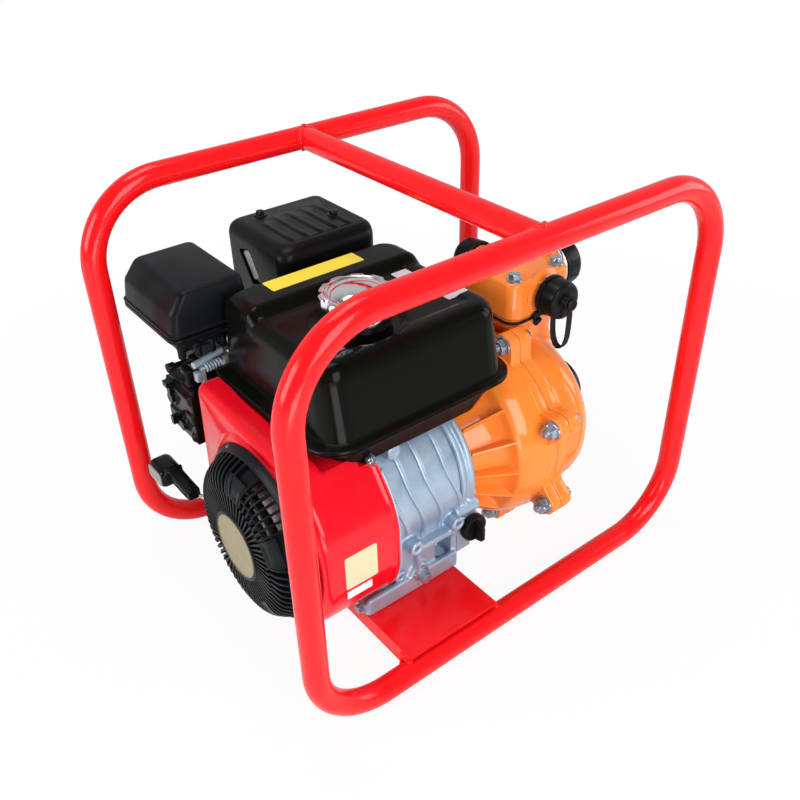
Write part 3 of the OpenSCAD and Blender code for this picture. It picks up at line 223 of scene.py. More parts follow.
def tube(bm, path, r, sides, ring=False):
    """Sweeps a round section along a path of points. r is one radius, or one for each point."""
    path = [Vector(p) for p in path]
    count = len(path)
    radii = r if isinstance(r, list) else [r] * count
    side = None
    loops = []
    for i, p in enumerate(path):
        ahead = path[(i + 1) % count] if ring or i < count - 1 else p
        behind = path[i - 1] if ring or i > 0 else p
        along = (ahead - behind).normalized()
        if side is None:
            side = along.orthogonal().normalized()
        side = (side - along * side.dot(along)).normalized()
        other = along.cross(side)
        angles = [2 * math.pi * k / sides for k in range(sides)]
        loops.append([p + radii[i] * (math.cos(a) * side + math.sin(a) * other) for a in angles])
    loft(bm, loops, ring=ring)


def edged(obj, width, sharp):
    """Breaks an object's sharp edges."""
    edge = obj.modifiers.new("broken edge", "BEVEL")
    edge.width = width
    edge.segments = 2
    edge.limit_method = "ANGLE"
    edge.angle_limit = math.radians(sharp)
    return edge


def kept(obj, material, body, slot, *nodes, sharp=32, bevel=0.0):
    """Gives a finished mesh its shading, material and body, and hides the nodes that it stands for. Its slot is not
    used.
    """
    mesh = obj.data
    mesh.materials.clear()
    mesh.materials.append(material)
    mesh.shade_smooth()
    mesh.set_sharp_from_angle(angle=math.radians(sharp))
    scene.collection.objects.link(obj)
    if bevel:
        edged(obj, bevel, sharp).harden_normals = True
    if body:
        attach(obj, body)
    if nodes:
        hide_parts(*nodes)
    return obj


def drawn(bm, name):
    """Ends a drawing: its faces point outwards, and it becomes a mesh."""
    bmesh.ops.recalc_face_normals(bm, faces=bm.faces)
    mesh = bpy.data.meshes.new(name)
    bm.to_mesh(mesh)
    bm.free()
    return mesh


def piece(name, bm, *finish, **options):
    """Makes a piece of a mesh that is drawn in metres, in the part's frame."""
    bmesh.ops.remove_doubles(bm, verts=bm.verts, dist=1e-6)
    return kept(bpy.data.objects.new(name, drawn(bm, name)), *finish, **options)


def begun(name):
    """A new material: with it come its tree, its surface and the object's own coordinates."""
    made = bpy.data.materials.new(name)
    made.use_nodes = True
    tree = made.node_tree
    return made, tree, tree.nodes["Principled BSDF"], node(tree, "ShaderNodeTexCoord").outputs["Object"]


def painted(name, colour, shade, peel_mm, rough, coat):
    """A sprayed or powder-coated enamel: an even colour, a faint drift of tone and orange peel in the gloss."""
    made, tree, skin, where = begun(name)
    drift = node(tree, "ShaderNodeTexNoise", None, {"Vector": where, "Scale": 14.0, "Detail": 3.0})
    tone = node(tree, "ShaderNodeMix", {"data_type": "RGBA"},
                {"Factor": drift.outputs["Fac"], "A": linear(colour), "B": linear(shade)})
    # One wave of the peel is about peel_mm wide.
    peel = node(tree, "ShaderNodeTexNoise", None, {"Vector": where, "Scale": 500.0 / peel_mm, "Detail": 1.0})
    bump = node(tree, "ShaderNodeBump", None,
                {"Height": peel.outputs["Fac"], "Strength": 0.06, "Distance": 0.0006})
    dust = node(tree, "ShaderNodeTexNoise", None, {"Vector": where, "Scale": 60.0, "Detail": 5.0})
    gloss = node(tree, "ShaderNodeMapRange", None,
                 {"Value": dust.outputs["Fac"], "From Min": 0.3, "From Max": 0.75,
                  "To Min": rough, "To Max": rough + 0.1})
    fed(tree, skin, {"Base Color": tone.outputs["Result"], "Roughness": gloss.outputs["Result"],
                     "Normal": bump.outputs["Normal"], "Specular IOR Level": 0.3,
                     "Coat Weight": coat, "Coat Roughness": 0.06})
    return made


red_powder_coat = painted("red powder coat", "#F5181E", "#EB1218", 2.5, 0.13, 0.0)

BEND_TOP = 0.082
BEND_LOW = 0.078
for name in ("near_hoop", "far_hoop"):
    low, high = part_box(name)
    tube_r = (high.y - low.y) / 2
    mid_y = (high.y + low.y) / 2
    left, right = low.x + tube_r, high.x - tube_r
    foot, top = low.z + tube_r, high.z - tube_r
    outline = rounded(left, foot, right, top, (BEND_LOW, BEND_LOW, BEND_TOP, BEND_TOP), 20)
    bm = bmesh.new()
    tube(bm, [(p.x, mid_y, p.y) for p in outline], tube_r, 44, ring=True)
    piece(name + "_tube", bm, red_powder_coat, "frame", "frame_paint", name, sharp=60)

# Top bar: the same tube, cut to fit between the hoops, and the handle that the pump is lifted by.
# Its ends are coped to the hoops' tubes and welded all round.
low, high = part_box("top_bar")
bar_x = (low.x + high.x) / 2
bar_z = (low.z + high.z) / 2
near_y, far_y = [sum(corner.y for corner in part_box(name)) / 2 for name in ("near_hoop", "far_hoop")]
bm = bmesh.new()
tube(bm, [(bar_x, near_y + 0.004, bar_z), (bar_x, far_y - 0.004, bar_z)], tube_r - 0.0002, 44)
piece("top_bar_tube", bm, red_powder_coat, "frame", "frame_paint", "top_bar", sharp=60)

# Weld beads: short runs of overlapping drops where the bar and the base channel meet the hoops.
# They are painted over with the frame.


def evaluated(obj):
    """An object's mesh with its modifiers applied."""
    scene.collection.objects.link(obj)
    graph = bpy.context.evaluated_depsgraph_get()
    mesh = bpy.data.meshes.new_from_object(obj.evaluated_get(graph))
    scene.collection.objects.unlink(obj)
    return mesh


def grown(name, base, tree, values, body, slot, *nodes, sharp):
    """Runs a node tree on a base mesh, and keeps the result as a plain mesh."""
    obj = bpy.data.objects.new(name, base)
    growth = obj.modifiers.new("growth", "NODES")
    growth.node_group = tree
    for item in tree.interface.items_tree:
        if item.in_out == "INPUT" and item.name in values:
            growth[item.identifier] = values[item.name]
    mesh = evaluated(obj)
    obj.modifiers.clear()
    obj.data = mesh
    kept(obj, values["Finish"], body, slot, *nodes, sharp=sharp)


def new_tree(name, sockets):
    """A geometry tree with named inputs, its group input node and a function that closes it."""
    tree = bpy.data.node_groups.new(name, "GeometryNodeTree")
    tree.interface.new_socket("Geometry", in_out="OUTPUT", socket_type="NodeSocketGeometry")
    for label, kind in [("Geometry", "Geometry"), ("Finish", "Material")] + sockets:
        tree.interface.new_socket(label, in_out="INPUT", socket_type="NodeSocket" + kind)
    given = node(tree, "NodeGroupInput")

    def close(copies):
        solid = node(tree, "GeometryNodeRealizeInstances", None, {"Geometry": copies})
        coated = node(tree, "GeometryNodeSetMaterial", None,
                      {"Geometry": solid.outputs[0], "Material": given.outputs["Finish"]})
        node(tree, "NodeGroupOutput", None, {"Geometry": coated.outputs[0]})
        return tree

    return tree, given, close


tree, given, close = new_tree("weld bead", [("Drop Radius", "Float"), ("Seed", "Int")])
drop = node(tree, "GeometryNodeMeshIcoSphere", None,
            {"Radius": given.outputs["Drop Radius"], "Subdivisions": 2})
size = node(tree, "FunctionNodeRandomValue", {"data_type": "FLOAT_VECTOR"},
            {0: (0.7, 0.7, 0.6), 1: (1.25, 1.25, 1.0), "Seed": given.outputs["Seed"]})
dots = node(tree, "GeometryNodeMeshToPoints", None, {"Mesh": given.outputs["Geometry"]})
drops = node(tree, "GeometryNodeInstanceOnPoints", None,
             {"Points": dots.outputs[0], "Instance": drop.outputs[0], "Scale": size.outputs[0]})
weld_tree = close(drops.outputs[0])

DROP = 0.0024
seams = []
for y, way in ((near_y, 1), (far_y, -1)):
    for k in range(46):
        a = 2 * math.pi * k / 46
        seams.append((bar_x + tube_r * math.cos(a), y + way * tube_r * abs(math.cos(a)),
                      bar_z + tube_r * math.sin(a)))
low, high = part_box("base_channel")
for y, way in ((near_y, 1), (far_y, -1)):
    for x in (low.x, high.x):
        for k in range(12):
            seams.append((x, y + way * (0.001 + 0.0012 * k), high.z - 0.0075 + 0.0007 * (k % 3)))
    for k in range(10):
        seams.append((low.x - 0.001 * (k % 2), y + way * 0.013, high.z - 0.004 - 0.0016 * k))
        seams.append((high.x + 0.001 * (k % 2), y + way * 0.013, high.z - 0.004 - 0.0016 * k))
points = bpy.data.meshes.new("weld_run")
points.from_pydata(seams, [], [])
grown("weld_beads", points, weld_tree, {"Finish": red_powder_coat, "Drop Radius": DROP, "Seed": 4},
      "frame", "frame_paint", sharp=80)

# Base channel: 4 mm sheet, folded to a shallow channel, that carries the engine on the hoops' lower rails.
# It is welded to both rails and coated with them.


def broken(name, material, width_mm):
    """A CAD node's own mesh with a finish, and with its sharp edges broken as a file would."""
    obj = frame["nodes"][name]
    obj.data.materials.clear()
    obj.data.materials.append(material)
    joined = obj.modifiers.new("joined faces", "WELD")
    joined.merge_threshold = 1e-6
    edged(obj, width_mm / 1000, 35)


broken("base_channel", red_powder_coat, 1.2)

# Crankcase: a die casting in aluminium with a round crank chamber, a finned cylinder and a flat foot.
# Wavy ridges, screw bosses and a ledge stand on its near side. The skin is bead-blasted.

# The engine's own frame: u along the crankshaft, v towards the cylinder, w up, in mm from the crank axis.
crank = next(j for j in frame["joints"] if j["name"] == "crank_spin")
CRANK_U = 200.0
ENGINE = Matrix.Translation(crank["pos_m"]) @ Matrix.Scale(0.001, 4) @ Matrix.Translation((-CRANK_U, 0, 0))
TO_U = Matrix.Rotation(math.radians(90), 4, "Y")
TO_FAR = Matrix.Rotation(math.radians(-90), 4, "X")
TO_NEAR = Matrix.Rotation(math.radians(90), 4, "X")
UPRIGHT = Matrix.Identity(4)


def lathe(bm, profile, place, turn, n, ring=False):
    """Turns a profile of (radius, height) about an axis that stands at a place."""
    stand = Matrix.Translation(place) @ turn
    loops = []
    for r, h in profile:
        r = max(r, 0.01)
        angles = [2 * math.pi * k / n for k in range(n)]
        loops.append([stand @ Vector((r * math.cos(a), r * math.sin(a), h)) for a in angles])
    loft(bm, loops, ring=ring)


def stacked(bm, layers):
    """Joins flat outlines, each at its own height."""
    loft(bm, [[(p.x, p.y, w) for p in outline] for w, outline in layers])


def block(bm, low, high, r=2.0):
    """A box with round upright corners and broken top and bottom edges."""
    levels = ((low[2], r / 2), (low[2] + r / 2, 0), (high[2] - r / 2, 0), (high[2], r / 2))
    stacked(bm, [(w, rounded(low[0] + by, low[1] + by, high[0] - by, high[1] - by, r, 4)) for w, by in levels])


def engine_piece(name, bm, *finish, **options):
    """A piece that is drawn in the engine's frame, in mm."""
    bm.transform(ENGINE)
    return piece(name, bm, *finish, **options)


def cast(name, bm, voxel_mm, rounds, *finish, nodes):
    """Fuses shapes drawn in the engine's frame with the CAD nodes, and rounds the inner and outer corners."""
    bm.transform(ENGINE)
    for each in nodes:
        bm.from_mesh(frame["nodes"][each].data)
    bmesh.ops.remove_doubles(bm, verts=bm.verts, dist=1e-6)
    mesh = bpy.data.meshes.new(name)
    bm.to_mesh(mesh)
    bm.free()
    obj = bpy.data.objects.new(name, mesh)
    fuse = obj.modifiers.new("fused", "REMESH")
    fuse.mode = "VOXEL"
    fuse.voxel_size = voxel_mm / 1000
    soft = obj.modifiers.new("soft corners", "SMOOTH")
    soft.factor = 0.5
    soft.iterations = rounds
    fused = evaluated(obj)
    obj.modifiers.clear()
    obj.data = fused
    kept(obj, *finish, *nodes, sharp=50)


def metal(name, colour, dark, rough, grain_mm, bite, metallic=1.0):
    """A bare or plated metal: its colour drifts towards a darker tone, and its grain shows in the gloss."""
    made, tree, skin, where = begun(name)
    cloud = node(tree, "ShaderNodeTexNoise", None, {"Vector": where, "Scale": 35.0, "Detail": 4.0})
    patch = node(tree, "ShaderNodeMapRange", None, {"Value": cloud.outputs["Fac"], "From Min": 0.35, "From Max": 0.7})
    tone = node(tree, "ShaderNodeMix", {"data_type": "RGBA"},
                {"Factor": patch.outputs["Result"], "A": linear(colour), "B": linear(dark)})
    grain = node(tree, "ShaderNodeTexNoise", None, {"Vector": where, "Scale": 500.0 / grain_mm, "Detail": 2.0})
    sheen = node(tree, "ShaderNodeMapRange", None,
                 {"Value": grain.outputs["Fac"], "From Min": 0.3, "From Max": 0.7,
                  "To Min": rough - 0.08, "To Max": rough + 0.1})
    bump = node(tree, "ShaderNodeBump", None,
                {"Height": grain.outputs["Fac"], "Strength": bite, "Distance": 0.0004})
    fed(tree, skin, {"Base Color": tone.outputs["Result"], "Roughness": sheen.outputs["Result"],
                     "Normal": bump.outputs["Normal"], "Metallic": metallic})
    return made


# Blasting leaves a fine, even tooth: it spreads the highlights and keeps the alloy pale and bluish.
blasted_aluminium = metal("bead-blasted cast aluminium", "#AFC3D6", "#98ADC2", 0.4, 1.2, 0.22, 0.55)

CASE_R = 78.0
bm = bmesh.new()
rim = [math.radians(105 + 110 * k / 30) for k in range(31)]
tube(bm, [(136, 82 * math.cos(a), 82 * math.sin(a)) for a in rim], 4.5, 10)
SCREW_EYE = [(0, 0), (8.5, 0), (8.5, 22), (7.5, 23), (3.4, 23), (3.4, 14), (0, 14)]
# The near side: screw eyes, the lug by the tank, the ledge with its rib, the foot's edge and the drain's boss.
for u, w in ((165, -36), (221, -34)):
    lathe(bm, SCREW_EYE, (u, -65, w), TO_NEAR, 28)
lathe(bm, [(0, 0), (8, 0), (8, 18), (3.2, 18), (3.2, 10), (0, 10)], (157, -46, 78), TO_NEAR, 24)
block(bm, (149, -62, 70), (165, -44, 86.5), 2)
lathe(bm, [(0, 0), (7, 0), (7, 15), (3, 15), (3, 8), (0, 8)], (148, -66, -71), TO_NEAR, 24)
block(bm, (165, -84, -48), (222, -66, -40))
block(bm, (170, -82, -88), (175, -66, -44))
block(bm, (108, -77.5, -105.5), (229, -70.5, -84), 2.5)
lathe(bm, [(0, 0), (12, 0), (12, 10.5), (11, 11.5), (0, 11.5)], (176, -66, -84), TO_NEAR, 28)
block(bm, (216, -82, -56), (234, -60, -36), 4)
# The far side: upright ribs and three screw bosses.
for u in (150, 168, 198, 216):
    block(bm, (u - 2.5, 64, -94), (u + 2.5, 76.5, -28), 2)
for u in (141, 183, 225):
    lathe(bm, [(0, 0), (7.5, 0), (7.5, 12), (3.2, 12), (3.2, 5), (0, 5)], (u, 66, -76), TO_FAR, 24)
cast("crankcase_casting", bm, 1.7, 3, blasted_aluminium, "frame", "cast_alloy", nodes=["crankcase"])

# Case ridges: wavy beads with round shoulders, cast with the case, that run down its near side to the ledge.
# Below the round part they follow the flat wall of the sump.
RIDGE_HALF = 2.8
RIDGE_UP = 3.0
RIDGE_SECTION = [(-1.35, -3), (-1.1, 0.4), (-0.98, 0.5 * RIDGE_UP), (-0.8, 0.86 * RIDGE_UP), (-0.45, RIDGE_UP),
                 (0.45, RIDGE_UP), (0.8, 0.86 * RIDGE_UP), (0.98, 0.5 * RIDGE_UP), (1.1, 0.4), (1.35, -3)]
SUMP_TOP, SUMP_V = -30, -72.0
WAVE, WAVE_TOP, WAVE_LONG = 17, 42, 66


def eased(x):
    """Runs from 0 to 1 with a soft start and a soft end."""
    x = min(max(x, 0), 1)
    return x * x * (3 - 2 * x)


bm = bmesh.new()
for start_u, first, last in ((144, 26, -20), (166, 70, -42), (189, 70, -42), (215, 70, -24)):
    loops = []
    for k in range(41):
        w = first + (last - first) * k / 40
        v = -math.sqrt(CASE_R ** 2 - w * w) if w > SUMP_TOP else SUMP_V
        out = Vector((0, v, w)).normalized() if w > SUMP_TOP else Vector((0, -1, 0))
        at = Vector((start_u + WAVE * eased((WAVE_TOP - w) / WAVE_LONG), v, w))
        loops.append([at + Vector((RIDGE_HALF * across, 0, 0)) + up * out for across, up in RIDGE_SECTION])
    loft(bm, loops)
engine_piece("case_ridges", bm, blasted_aluminium, "frame", "cast_alloy", sharp=40)

# Crankcase cover: the plate that closes the crank chamber and carries the second bearing and the oil filler.
# A double bead runs along its joint, and a long screw boss and the filler's neck stand on its near side.
bm = bmesh.new()
for u in (234.5, 246):
    tube(bm, [(u, (CASE_R + 0.5) * math.cos(a), (CASE_R + 0.5) * math.sin(a)) for a in rim], 3.4, 10)
lathe(bm, [(0, 0), (8.5, 0), (9, 8), (9, 30), (7.5, 33), (0, 33)], (222, -75, -27), TO_U, 28)
FILLER_NECK = [(0, 0), (22, 0), (19, 12), (16.5, 24), (15.5, 32), (10, 32), (10, 20), (0, 20)]
lathe(bm, FILLER_NECK, (242, -49.5, -50), TO_NEAR, 32)
cast("crankcase_cover_casting", bm, 1.5, 3, blasted_aluminium, "frame", "cast_alloy", nodes=["crankcase_cover"])

# Cylinder head, carburettor and flywheel: more castings of the same alloy, shaped by what they hold.
# The carburettor's bowl hangs under its barrel, and the fuel pipe stands on its far side.
cast("head_casting", bmesh.new(), 1.5, 2, blasted_aluminium, "frame", "cast_alloy", nodes=["cylinder_head"])
bm = bmesh.new()
CARB = Vector((115, 160, 60))
CARB_BARREL = [(0, -28), (16.5, -28), (18.5, -26), (18.5, -22), (16.5, -20), (16.5, 14), (18, 16), (18, 21), (0, 21)]
CARB_BOWL = [(0, -56), (4, -56), (4, -52), (9, -51.4), (14, -49), (16.6, -45), (17, -40), (17, -22), (19.6, -21),
             (19.6, -17), (0, -17)]
lathe(bm, CARB_BARREL, CARB, TO_U, 40)
lathe(bm, CARB_BOWL, CARB, UPRIGHT, 48)
lathe(bm, [(0, 0), (6, 0), (6, 10), (4.6, 11), (0, 11)], CARB + Vector((-4, 13, 8)), TO_FAR, 24)
lathe(bm, [(0, 0), (3.4, 0), (3.4, 12), (4.2, 13), (4.2, 15), (0, 17)], CARB + Vector((6, 14, -25)), TO_FAR, 20)
lathe(bm, [(0, 0), (3, 0), (3, 9), (4.4, 9), (4.4, 12), (0, 12)], CARB + Vector((-12, 10, 15)), UPRIGHT, 20)
cast("carburettor_casting", bm, 1.2, 3, blasted_aluminium, "frame", "cast_alloy", nodes=["carburettor"])
for name in ("flywheel", "piston", "connecting_rod"):
    broken(name, blasted_aluminium, 0.8)

# Crankshaft, bearings and the other turned steel parts: bright where the tool last cut.
# All but the spark plug lie inside the engine and the pump.
turned_steel = metal("turned steel", "#9BA1A8", "#7D848C", 0.28, 0.6, 0.08)
for name in ("crankshaft", "main_bearings", "mechanical_seal", "spark_plug"):
    broken(name, turned_steel, 0.4)

# Rocker cover and muffler: pressed sheet steel that the heat has dulled.
# The shield hides most of the muffler.
dulled_steel = metal("heat-dulled steel sheet", "#8C8A86", "#6B655E", 0.45, 1.0, 0.15)
for name in ("rocker_cover", "muffler"):
    broken(name, dulled_steel, 1.0)

# Fan shroud: one deep pressing that leads the fan's air to the cylinder, sprayed in gloss crimson.
# A round step carries the recoil cover, and a rolled bead stiffens the edge against the crankcase.
crimson_enamel = painted("crimson gloss enamel", "#EA0D22", "#DC0A1E", 5.0, 0.14, 0.15)

SHROUD_CORNERS = [(-101.5, -46, 85), (-101.5, 40, 85), (-58, 99, 20), (125.5, 115.5, 13),
                  (134, -10, 20), (80, -86, 40), (35, -102.5, 50), (-48, -102.5, 30)]
SHROUD_FRONT = 44.5
SHROUD_ROUND = 11.0
ROOF = [(0, 120), (67, 120), (71, 108), (76.5, 94), (112, 94), (114, 83), (140, 83)]
NEAR_ROOF = [(-70, 120), (-67, 83)]
FOOT_U, FOOT_W = 105.5, -91.0


def spaced(points, count):
    """A closed outline, walked in equal steps."""
    ends = points[1:] + points[:1]
    lengths = [(b - a).length for a, b in zip(points, ends)]
    total = sum(lengths)
    out, i, gone = [], 0, 0.0
    for k in range(count):
        want = total * k / count
        while gone + lengths[i] < want:
            gone += lengths[i]
            i += 1
        out.append(points[i].lerp(ends[i], (want - gone) / lengths[i]))
    return out


def inset(points, by):
    """A closed outline, moved inwards by the same amount all round."""
    out = []
    for i, p in enumerate(points):
        along = (points[(i + 1) % len(points)] - points[i - 1]).normalized()
        out.append(p + by * Vector((along.y, -along.x)))
    return out


def table(values, x):
    """Reads a table of (x, y) pairs, with straight lines between them."""
    for (x0, y0), (x1, y1) in zip(values, values[1:]):
        if x <= x1:
            return y0 + (y1 - y0) * (x - x0) / (x1 - x0)
    return values[-1][1]


def walled(obj, thick, offset):
    """Gives a sheet its thickness."""
    wall = obj.modifiers.new("wall", "SOLIDIFY")
    wall.thickness = thick
    wall.offset = offset


outline = spaced(filleted(SHROUD_CORNERS, 10), 220)
bm = bmesh.new()
loops = []
for most, less, u in ((80, 30, 41.0), (98, 13.5, 40.2), (100, 13, 40.4), (105, 11.5, 43.2), (107, 11, 44.4)):
    # A soft minimum lets the round step run out into the flat face.
    ring = [(p, -4 * math.log(math.exp(-most / 4) + math.exp((less - p.length) / 4))) for p in outline]
    loops.append([(u, *(p.normalized() * r)) for p, r in ring])
for k in range(9):
    a = math.radians(90 * k / 8)
    ring = inset(outline, SHROUD_ROUND * (1 - math.sin(a)))
    loops.append([(SHROUD_FRONT + SHROUD_ROUND * (1 - math.cos(a)), p.x, p.y) for p in ring])
for u in (62, 64, 66, 67, 69, 71, 74, 76.5, 82, 86, 87, 88, 89, 97, 105, 106.5, 112, 120, 127.5):
    loops.append([(u, p.x, p.y) for p in outline])
for u, proud in ((128.2, 0.5), (128.8, 1.3), (130.6, 1.3), (131.3, 0.8)):
    loops.append([(u, p.x, p.y) for p in inset(outline, -proud)])
for loop in loops:
    for i, (u, v, w) in enumerate(loop):
        # The roof steps down under the tank, and the floor steps up over the engine's foot.
        roof = max(table(ROOF, u), table(NEAR_ROOF, v))
        loop[i] = (u, v, min(max(w, FOOT_W) if u > FOOT_U else w, roof))
loft(bm, loops, caps=False)
shroud = engine_piece("shroud_pressing", bm, crimson_enamel, "frame", "shroud_paint", "fan_shroud", sharp=38)
walled(shroud, 0.002, -1.0)

# Blank stickers on the shroud's near side: cream and white vinyl film with round corners.
# They stand a quarter of a millimetre proud of the enamel.
cream_film = painted("cream vinyl film", "#E2D6B0", "#D8CBA2", 6.0, 0.28, 0.2)
white_film = painted("white vinyl film", "#ECECF0", "#DEDFE6", 6.0, 0.28, 0.2)


def sticker(name, centre, across, up, wide, high, r, material, slot):
    """A thin plate of film with round corners, lying in the plane of its two directions."""
    across, up = Vector(across).normalized(), Vector(up).normalized()
    out = across.cross(up)
    plan = rounded(-wide / 2, -high / 2, wide / 2, high / 2, r, 5)
    bm = bmesh.new()
    loft(bm, [[Vector(centre) + p.x * across + p.y * up + lift * out for p in plan] for lift in (-0.3, 0.25)])
    engine_piece(name, bm, material, "frame", slot)


sticker("side_sticker", (85.5, -101.5, 1), (1, 0, 0), (0, 0, 1), 37, 40, 2.5, cream_film, "medallion")
sticker("low_sticker", (82, -101.45, -27), (1, 0, 0), (0, 0, 1), 29, 9, 1, white_film, "medallion")

# Gasket edge: the crankcase's bare rim shows as a thin pale line along the pressing.
# It is seen on the near side only.
bm = bmesh.new()
seam = [p for p in inset(outline, 0.2) if p.x < -30 and -88 < p.y < 78]
tube(bm, [(132.3, p.x, p.y) for p in seam], 1.3, 8)
engine_piece("gasket_edge", bm, blasted_aluminium, "frame", "cast_alloy", sharp=60)

# Recoil cover: moulded in black nylon. Radial fins stand on a dished face around a plain disc,
# and the side has open windows, through which the starter cup shows, its zinc painted near white as a highlight.


def moulded(name, colour, shade, rough, grain_mm, bite):
    """A moulded plastic or rubber: a fine spark-eroded grain from the mould, and a dull, soft gloss."""
    made, tree, skin, where = begun(name)
    drift = node(tree, "ShaderNodeTexNoise", None, {"Vector": where, "Scale": 22.0, "Detail": 4.0})
    tone = node(tree, "ShaderNodeMix", {"data_type": "RGBA"},
                {"Factor": drift.outputs["Fac"], "A": linear(colour), "B": linear(shade)})
    grain = node(tree, "ShaderNodeTexNoise", None, {"Vector": where, "Scale": 500.0 / grain_mm, "Detail": 2.0})
    gloss = node(tree, "ShaderNodeMapRange", None,
                 {"Value": drift.outputs["Fac"], "From Min": 0.3, "From Max": 0.7,
                  "To Min": rough - 0.05, "To Max": rough + 0.08})
    bump = node(tree, "ShaderNodeBump", None,
                {"Height": grain.outputs["Fac"], "Strength": bite, "Distance": 0.0003})
    fed(tree, skin, {"Base Color": tone.outputs["Result"], "Roughness": gloss.outputs["Result"],
                     "Normal": bump.outputs["Normal"], "Specular IOR Level": 0.15})
    return made


# Glass-filled nylon is never quite black: it has a cool, blue-grey sheen under a soft light.
black_nylon = moulded("spark-grained black nylon", "#0A0E11", "#101418", 0.36, 0.8, 0.2)

DOME = [(34, 7.4), (37, 7.6), (60, 8.6), (70, 10.4), (75, 12.2), (79, 15), (82.5, 19), (85.5, 24), (88.5, 30.5),
        (92, 37.5)]
FIN_STEP = math.radians(6)


def dome(r):
    """Place of the dome's skin along the crankshaft, and its outward direction (in r and u)."""
    slope = (table(DOME, r + 0.7) - table(DOME, r - 0.7)) / 1.4
    return table(DOME, r), Vector((slope, -1)).normalized()


def at_angle(r, u, angle, aside=0.0):
    """A point of the cover, from its radius, its place along the crankshaft and its angle from v to w."""
    c, s = math.cos(angle), math.sin(angle)
    return (u, r * c - aside * s, r * s + aside * c)


def fin(first, last, thin, thick, deep):
    """One radial fin that follows the dome, wider towards the rim, with its top edges broken."""
    bm = bmesh.new()
    loops = []
    count = 16
    for k in range(count + 1):
        r = first + (last - first) * k / count
        u, out = dome(r)
        half = (thin + (thick - thin) * k / count) / 2
        section = [(-half, deep), (-half, 0.5), (-half + 0.5, 0), (half - 0.5, 0), (half, 0.5), (half, deep)]
        loops.append([at_angle(r - down * out.x, u - down * out.y, 0, aside) for aside, down in section])
    loft(bm, loops)
    bm.transform(ENGINE)
    return drawn(bm, "fin")


tree, given, close = new_tree("ring of copies", [("Count", "Int"), ("Start", "Float"), ("Step", "Float"),
                                                 ("Axis", "Vector"), ("Centre", "Vector")])
spots = node(tree, "GeometryNodePoints", None, {"Count": given.outputs["Count"]})
copies = node(tree, "GeometryNodeInstanceOnPoints", None,
              {"Points": spots.outputs[0], "Instance": given.outputs["Geometry"]})
place = node(tree, "GeometryNodeInputIndex")
steps = node(tree, "ShaderNodeMath", {"operation": "MULTIPLY_ADD"},
             {0: place.outputs[0], 1: given.outputs["Step"], 2: given.outputs["Start"]})
swing = node(tree, "FunctionNodeAxisAngleToRotation", None,
             {"Axis": given.outputs["Axis"], "Angle": steps.outputs[0]})
turned = node(tree, "GeometryNodeRotateInstances", None,
              {"Instances": copies.outputs[0], "Rotation": swing.outputs[0],
               "Pivot Point": given.outputs["Centre"], "Local Space": False})
ring_tree = close(turned.outputs[0])

CRANK_AXIS = {"Axis": (1, 0, 0), "Centre": tuple(crank["pos_m"])}
# Inner fins stand all round. Outer ones leave room for the windows and the two smooth pads.
FIN_SETS = [
    ("face", 37, 61, 1.7, 2.6, 5.5, 60, 0),
    ("left", 61, 90.5, 2.6, 3.4, 6.0, 36, 238),
    ("low", 61, 90.5, 2.6, 3.0, 6.0, 11, 166),
    ("window", 61, 71, 2.6, 2.8, 6.0, 6, 105),
    ("bar", 70, 91.5, 2.0, 2.4, 5.0, 7, 104),
]
for label, first, last, thin, thick, deep, count, start in FIN_SETS:
    grown("recoil_fins_" + label, fin(first, last, thin, thick, deep), ring_tree,
          {"Finish": black_nylon, "Count": count, "Start": math.radians(start), "Step": FIN_STEP, **CRANK_AXIS},
          "frame", "black_plastic", sharp=30)

# The floor under the fins: a dished sheet with its windows left open.
FLOOR_ROWS = [33.5, 40, 50, 60, 70, 72, 79.5, 81, 90, 92]
FLOOR_DEEP = 5.0
CELLS = 120
bm = bmesh.new()
rows = []
for r in FLOOR_ROWS:
    u, out = dome(r)
    angles = [2 * math.pi * (k + 0.5) / CELLS for k in range(CELLS)]
    rows.append([bm.verts.new(at_angle(r - FLOOR_DEEP * out.x, u - FLOOR_DEEP * out.y, a)) for a in angles])
for i in range(len(rows) - 1):
    for k in range(CELLS):
        angle = 360 * (k + 1) / CELLS
        window = 103 < angle < 141 or 166 < angle < 220
        if not (window and FLOOR_ROWS[i] in (72, 81)):
            j = (k + 1) % CELLS
            bm.faces.new((rows[i][k], rows[i + 1][k], rows[i + 1][j], rows[i][j]))
floor_sheet = engine_piece("recoil_face", bm, black_nylon, "frame", "black_plastic", "recoil_cover", sharp=40)
walled(floor_sheet, 0.0018, 0.0)

# The smooth pieces of the cover: its hub ring, its rim band, and pads between the groups of fins.
bm = bmesh.new()
lathe(bm, [(33.6, 12), (33.6, 7.0), (34.2, 6.4), (37, 6.6), (38, 7.6), (38, 13)], (0, 0, 0), TO_U, 96, ring=True)
lathe(bm, [(89.4, 31.4), (90.8, 31.8), (95, 36.8), (96, 38.2), (96, 40), (93, 40.2), (88, 34)],
      (0, 0, 0), TO_U, 120, ring=True)
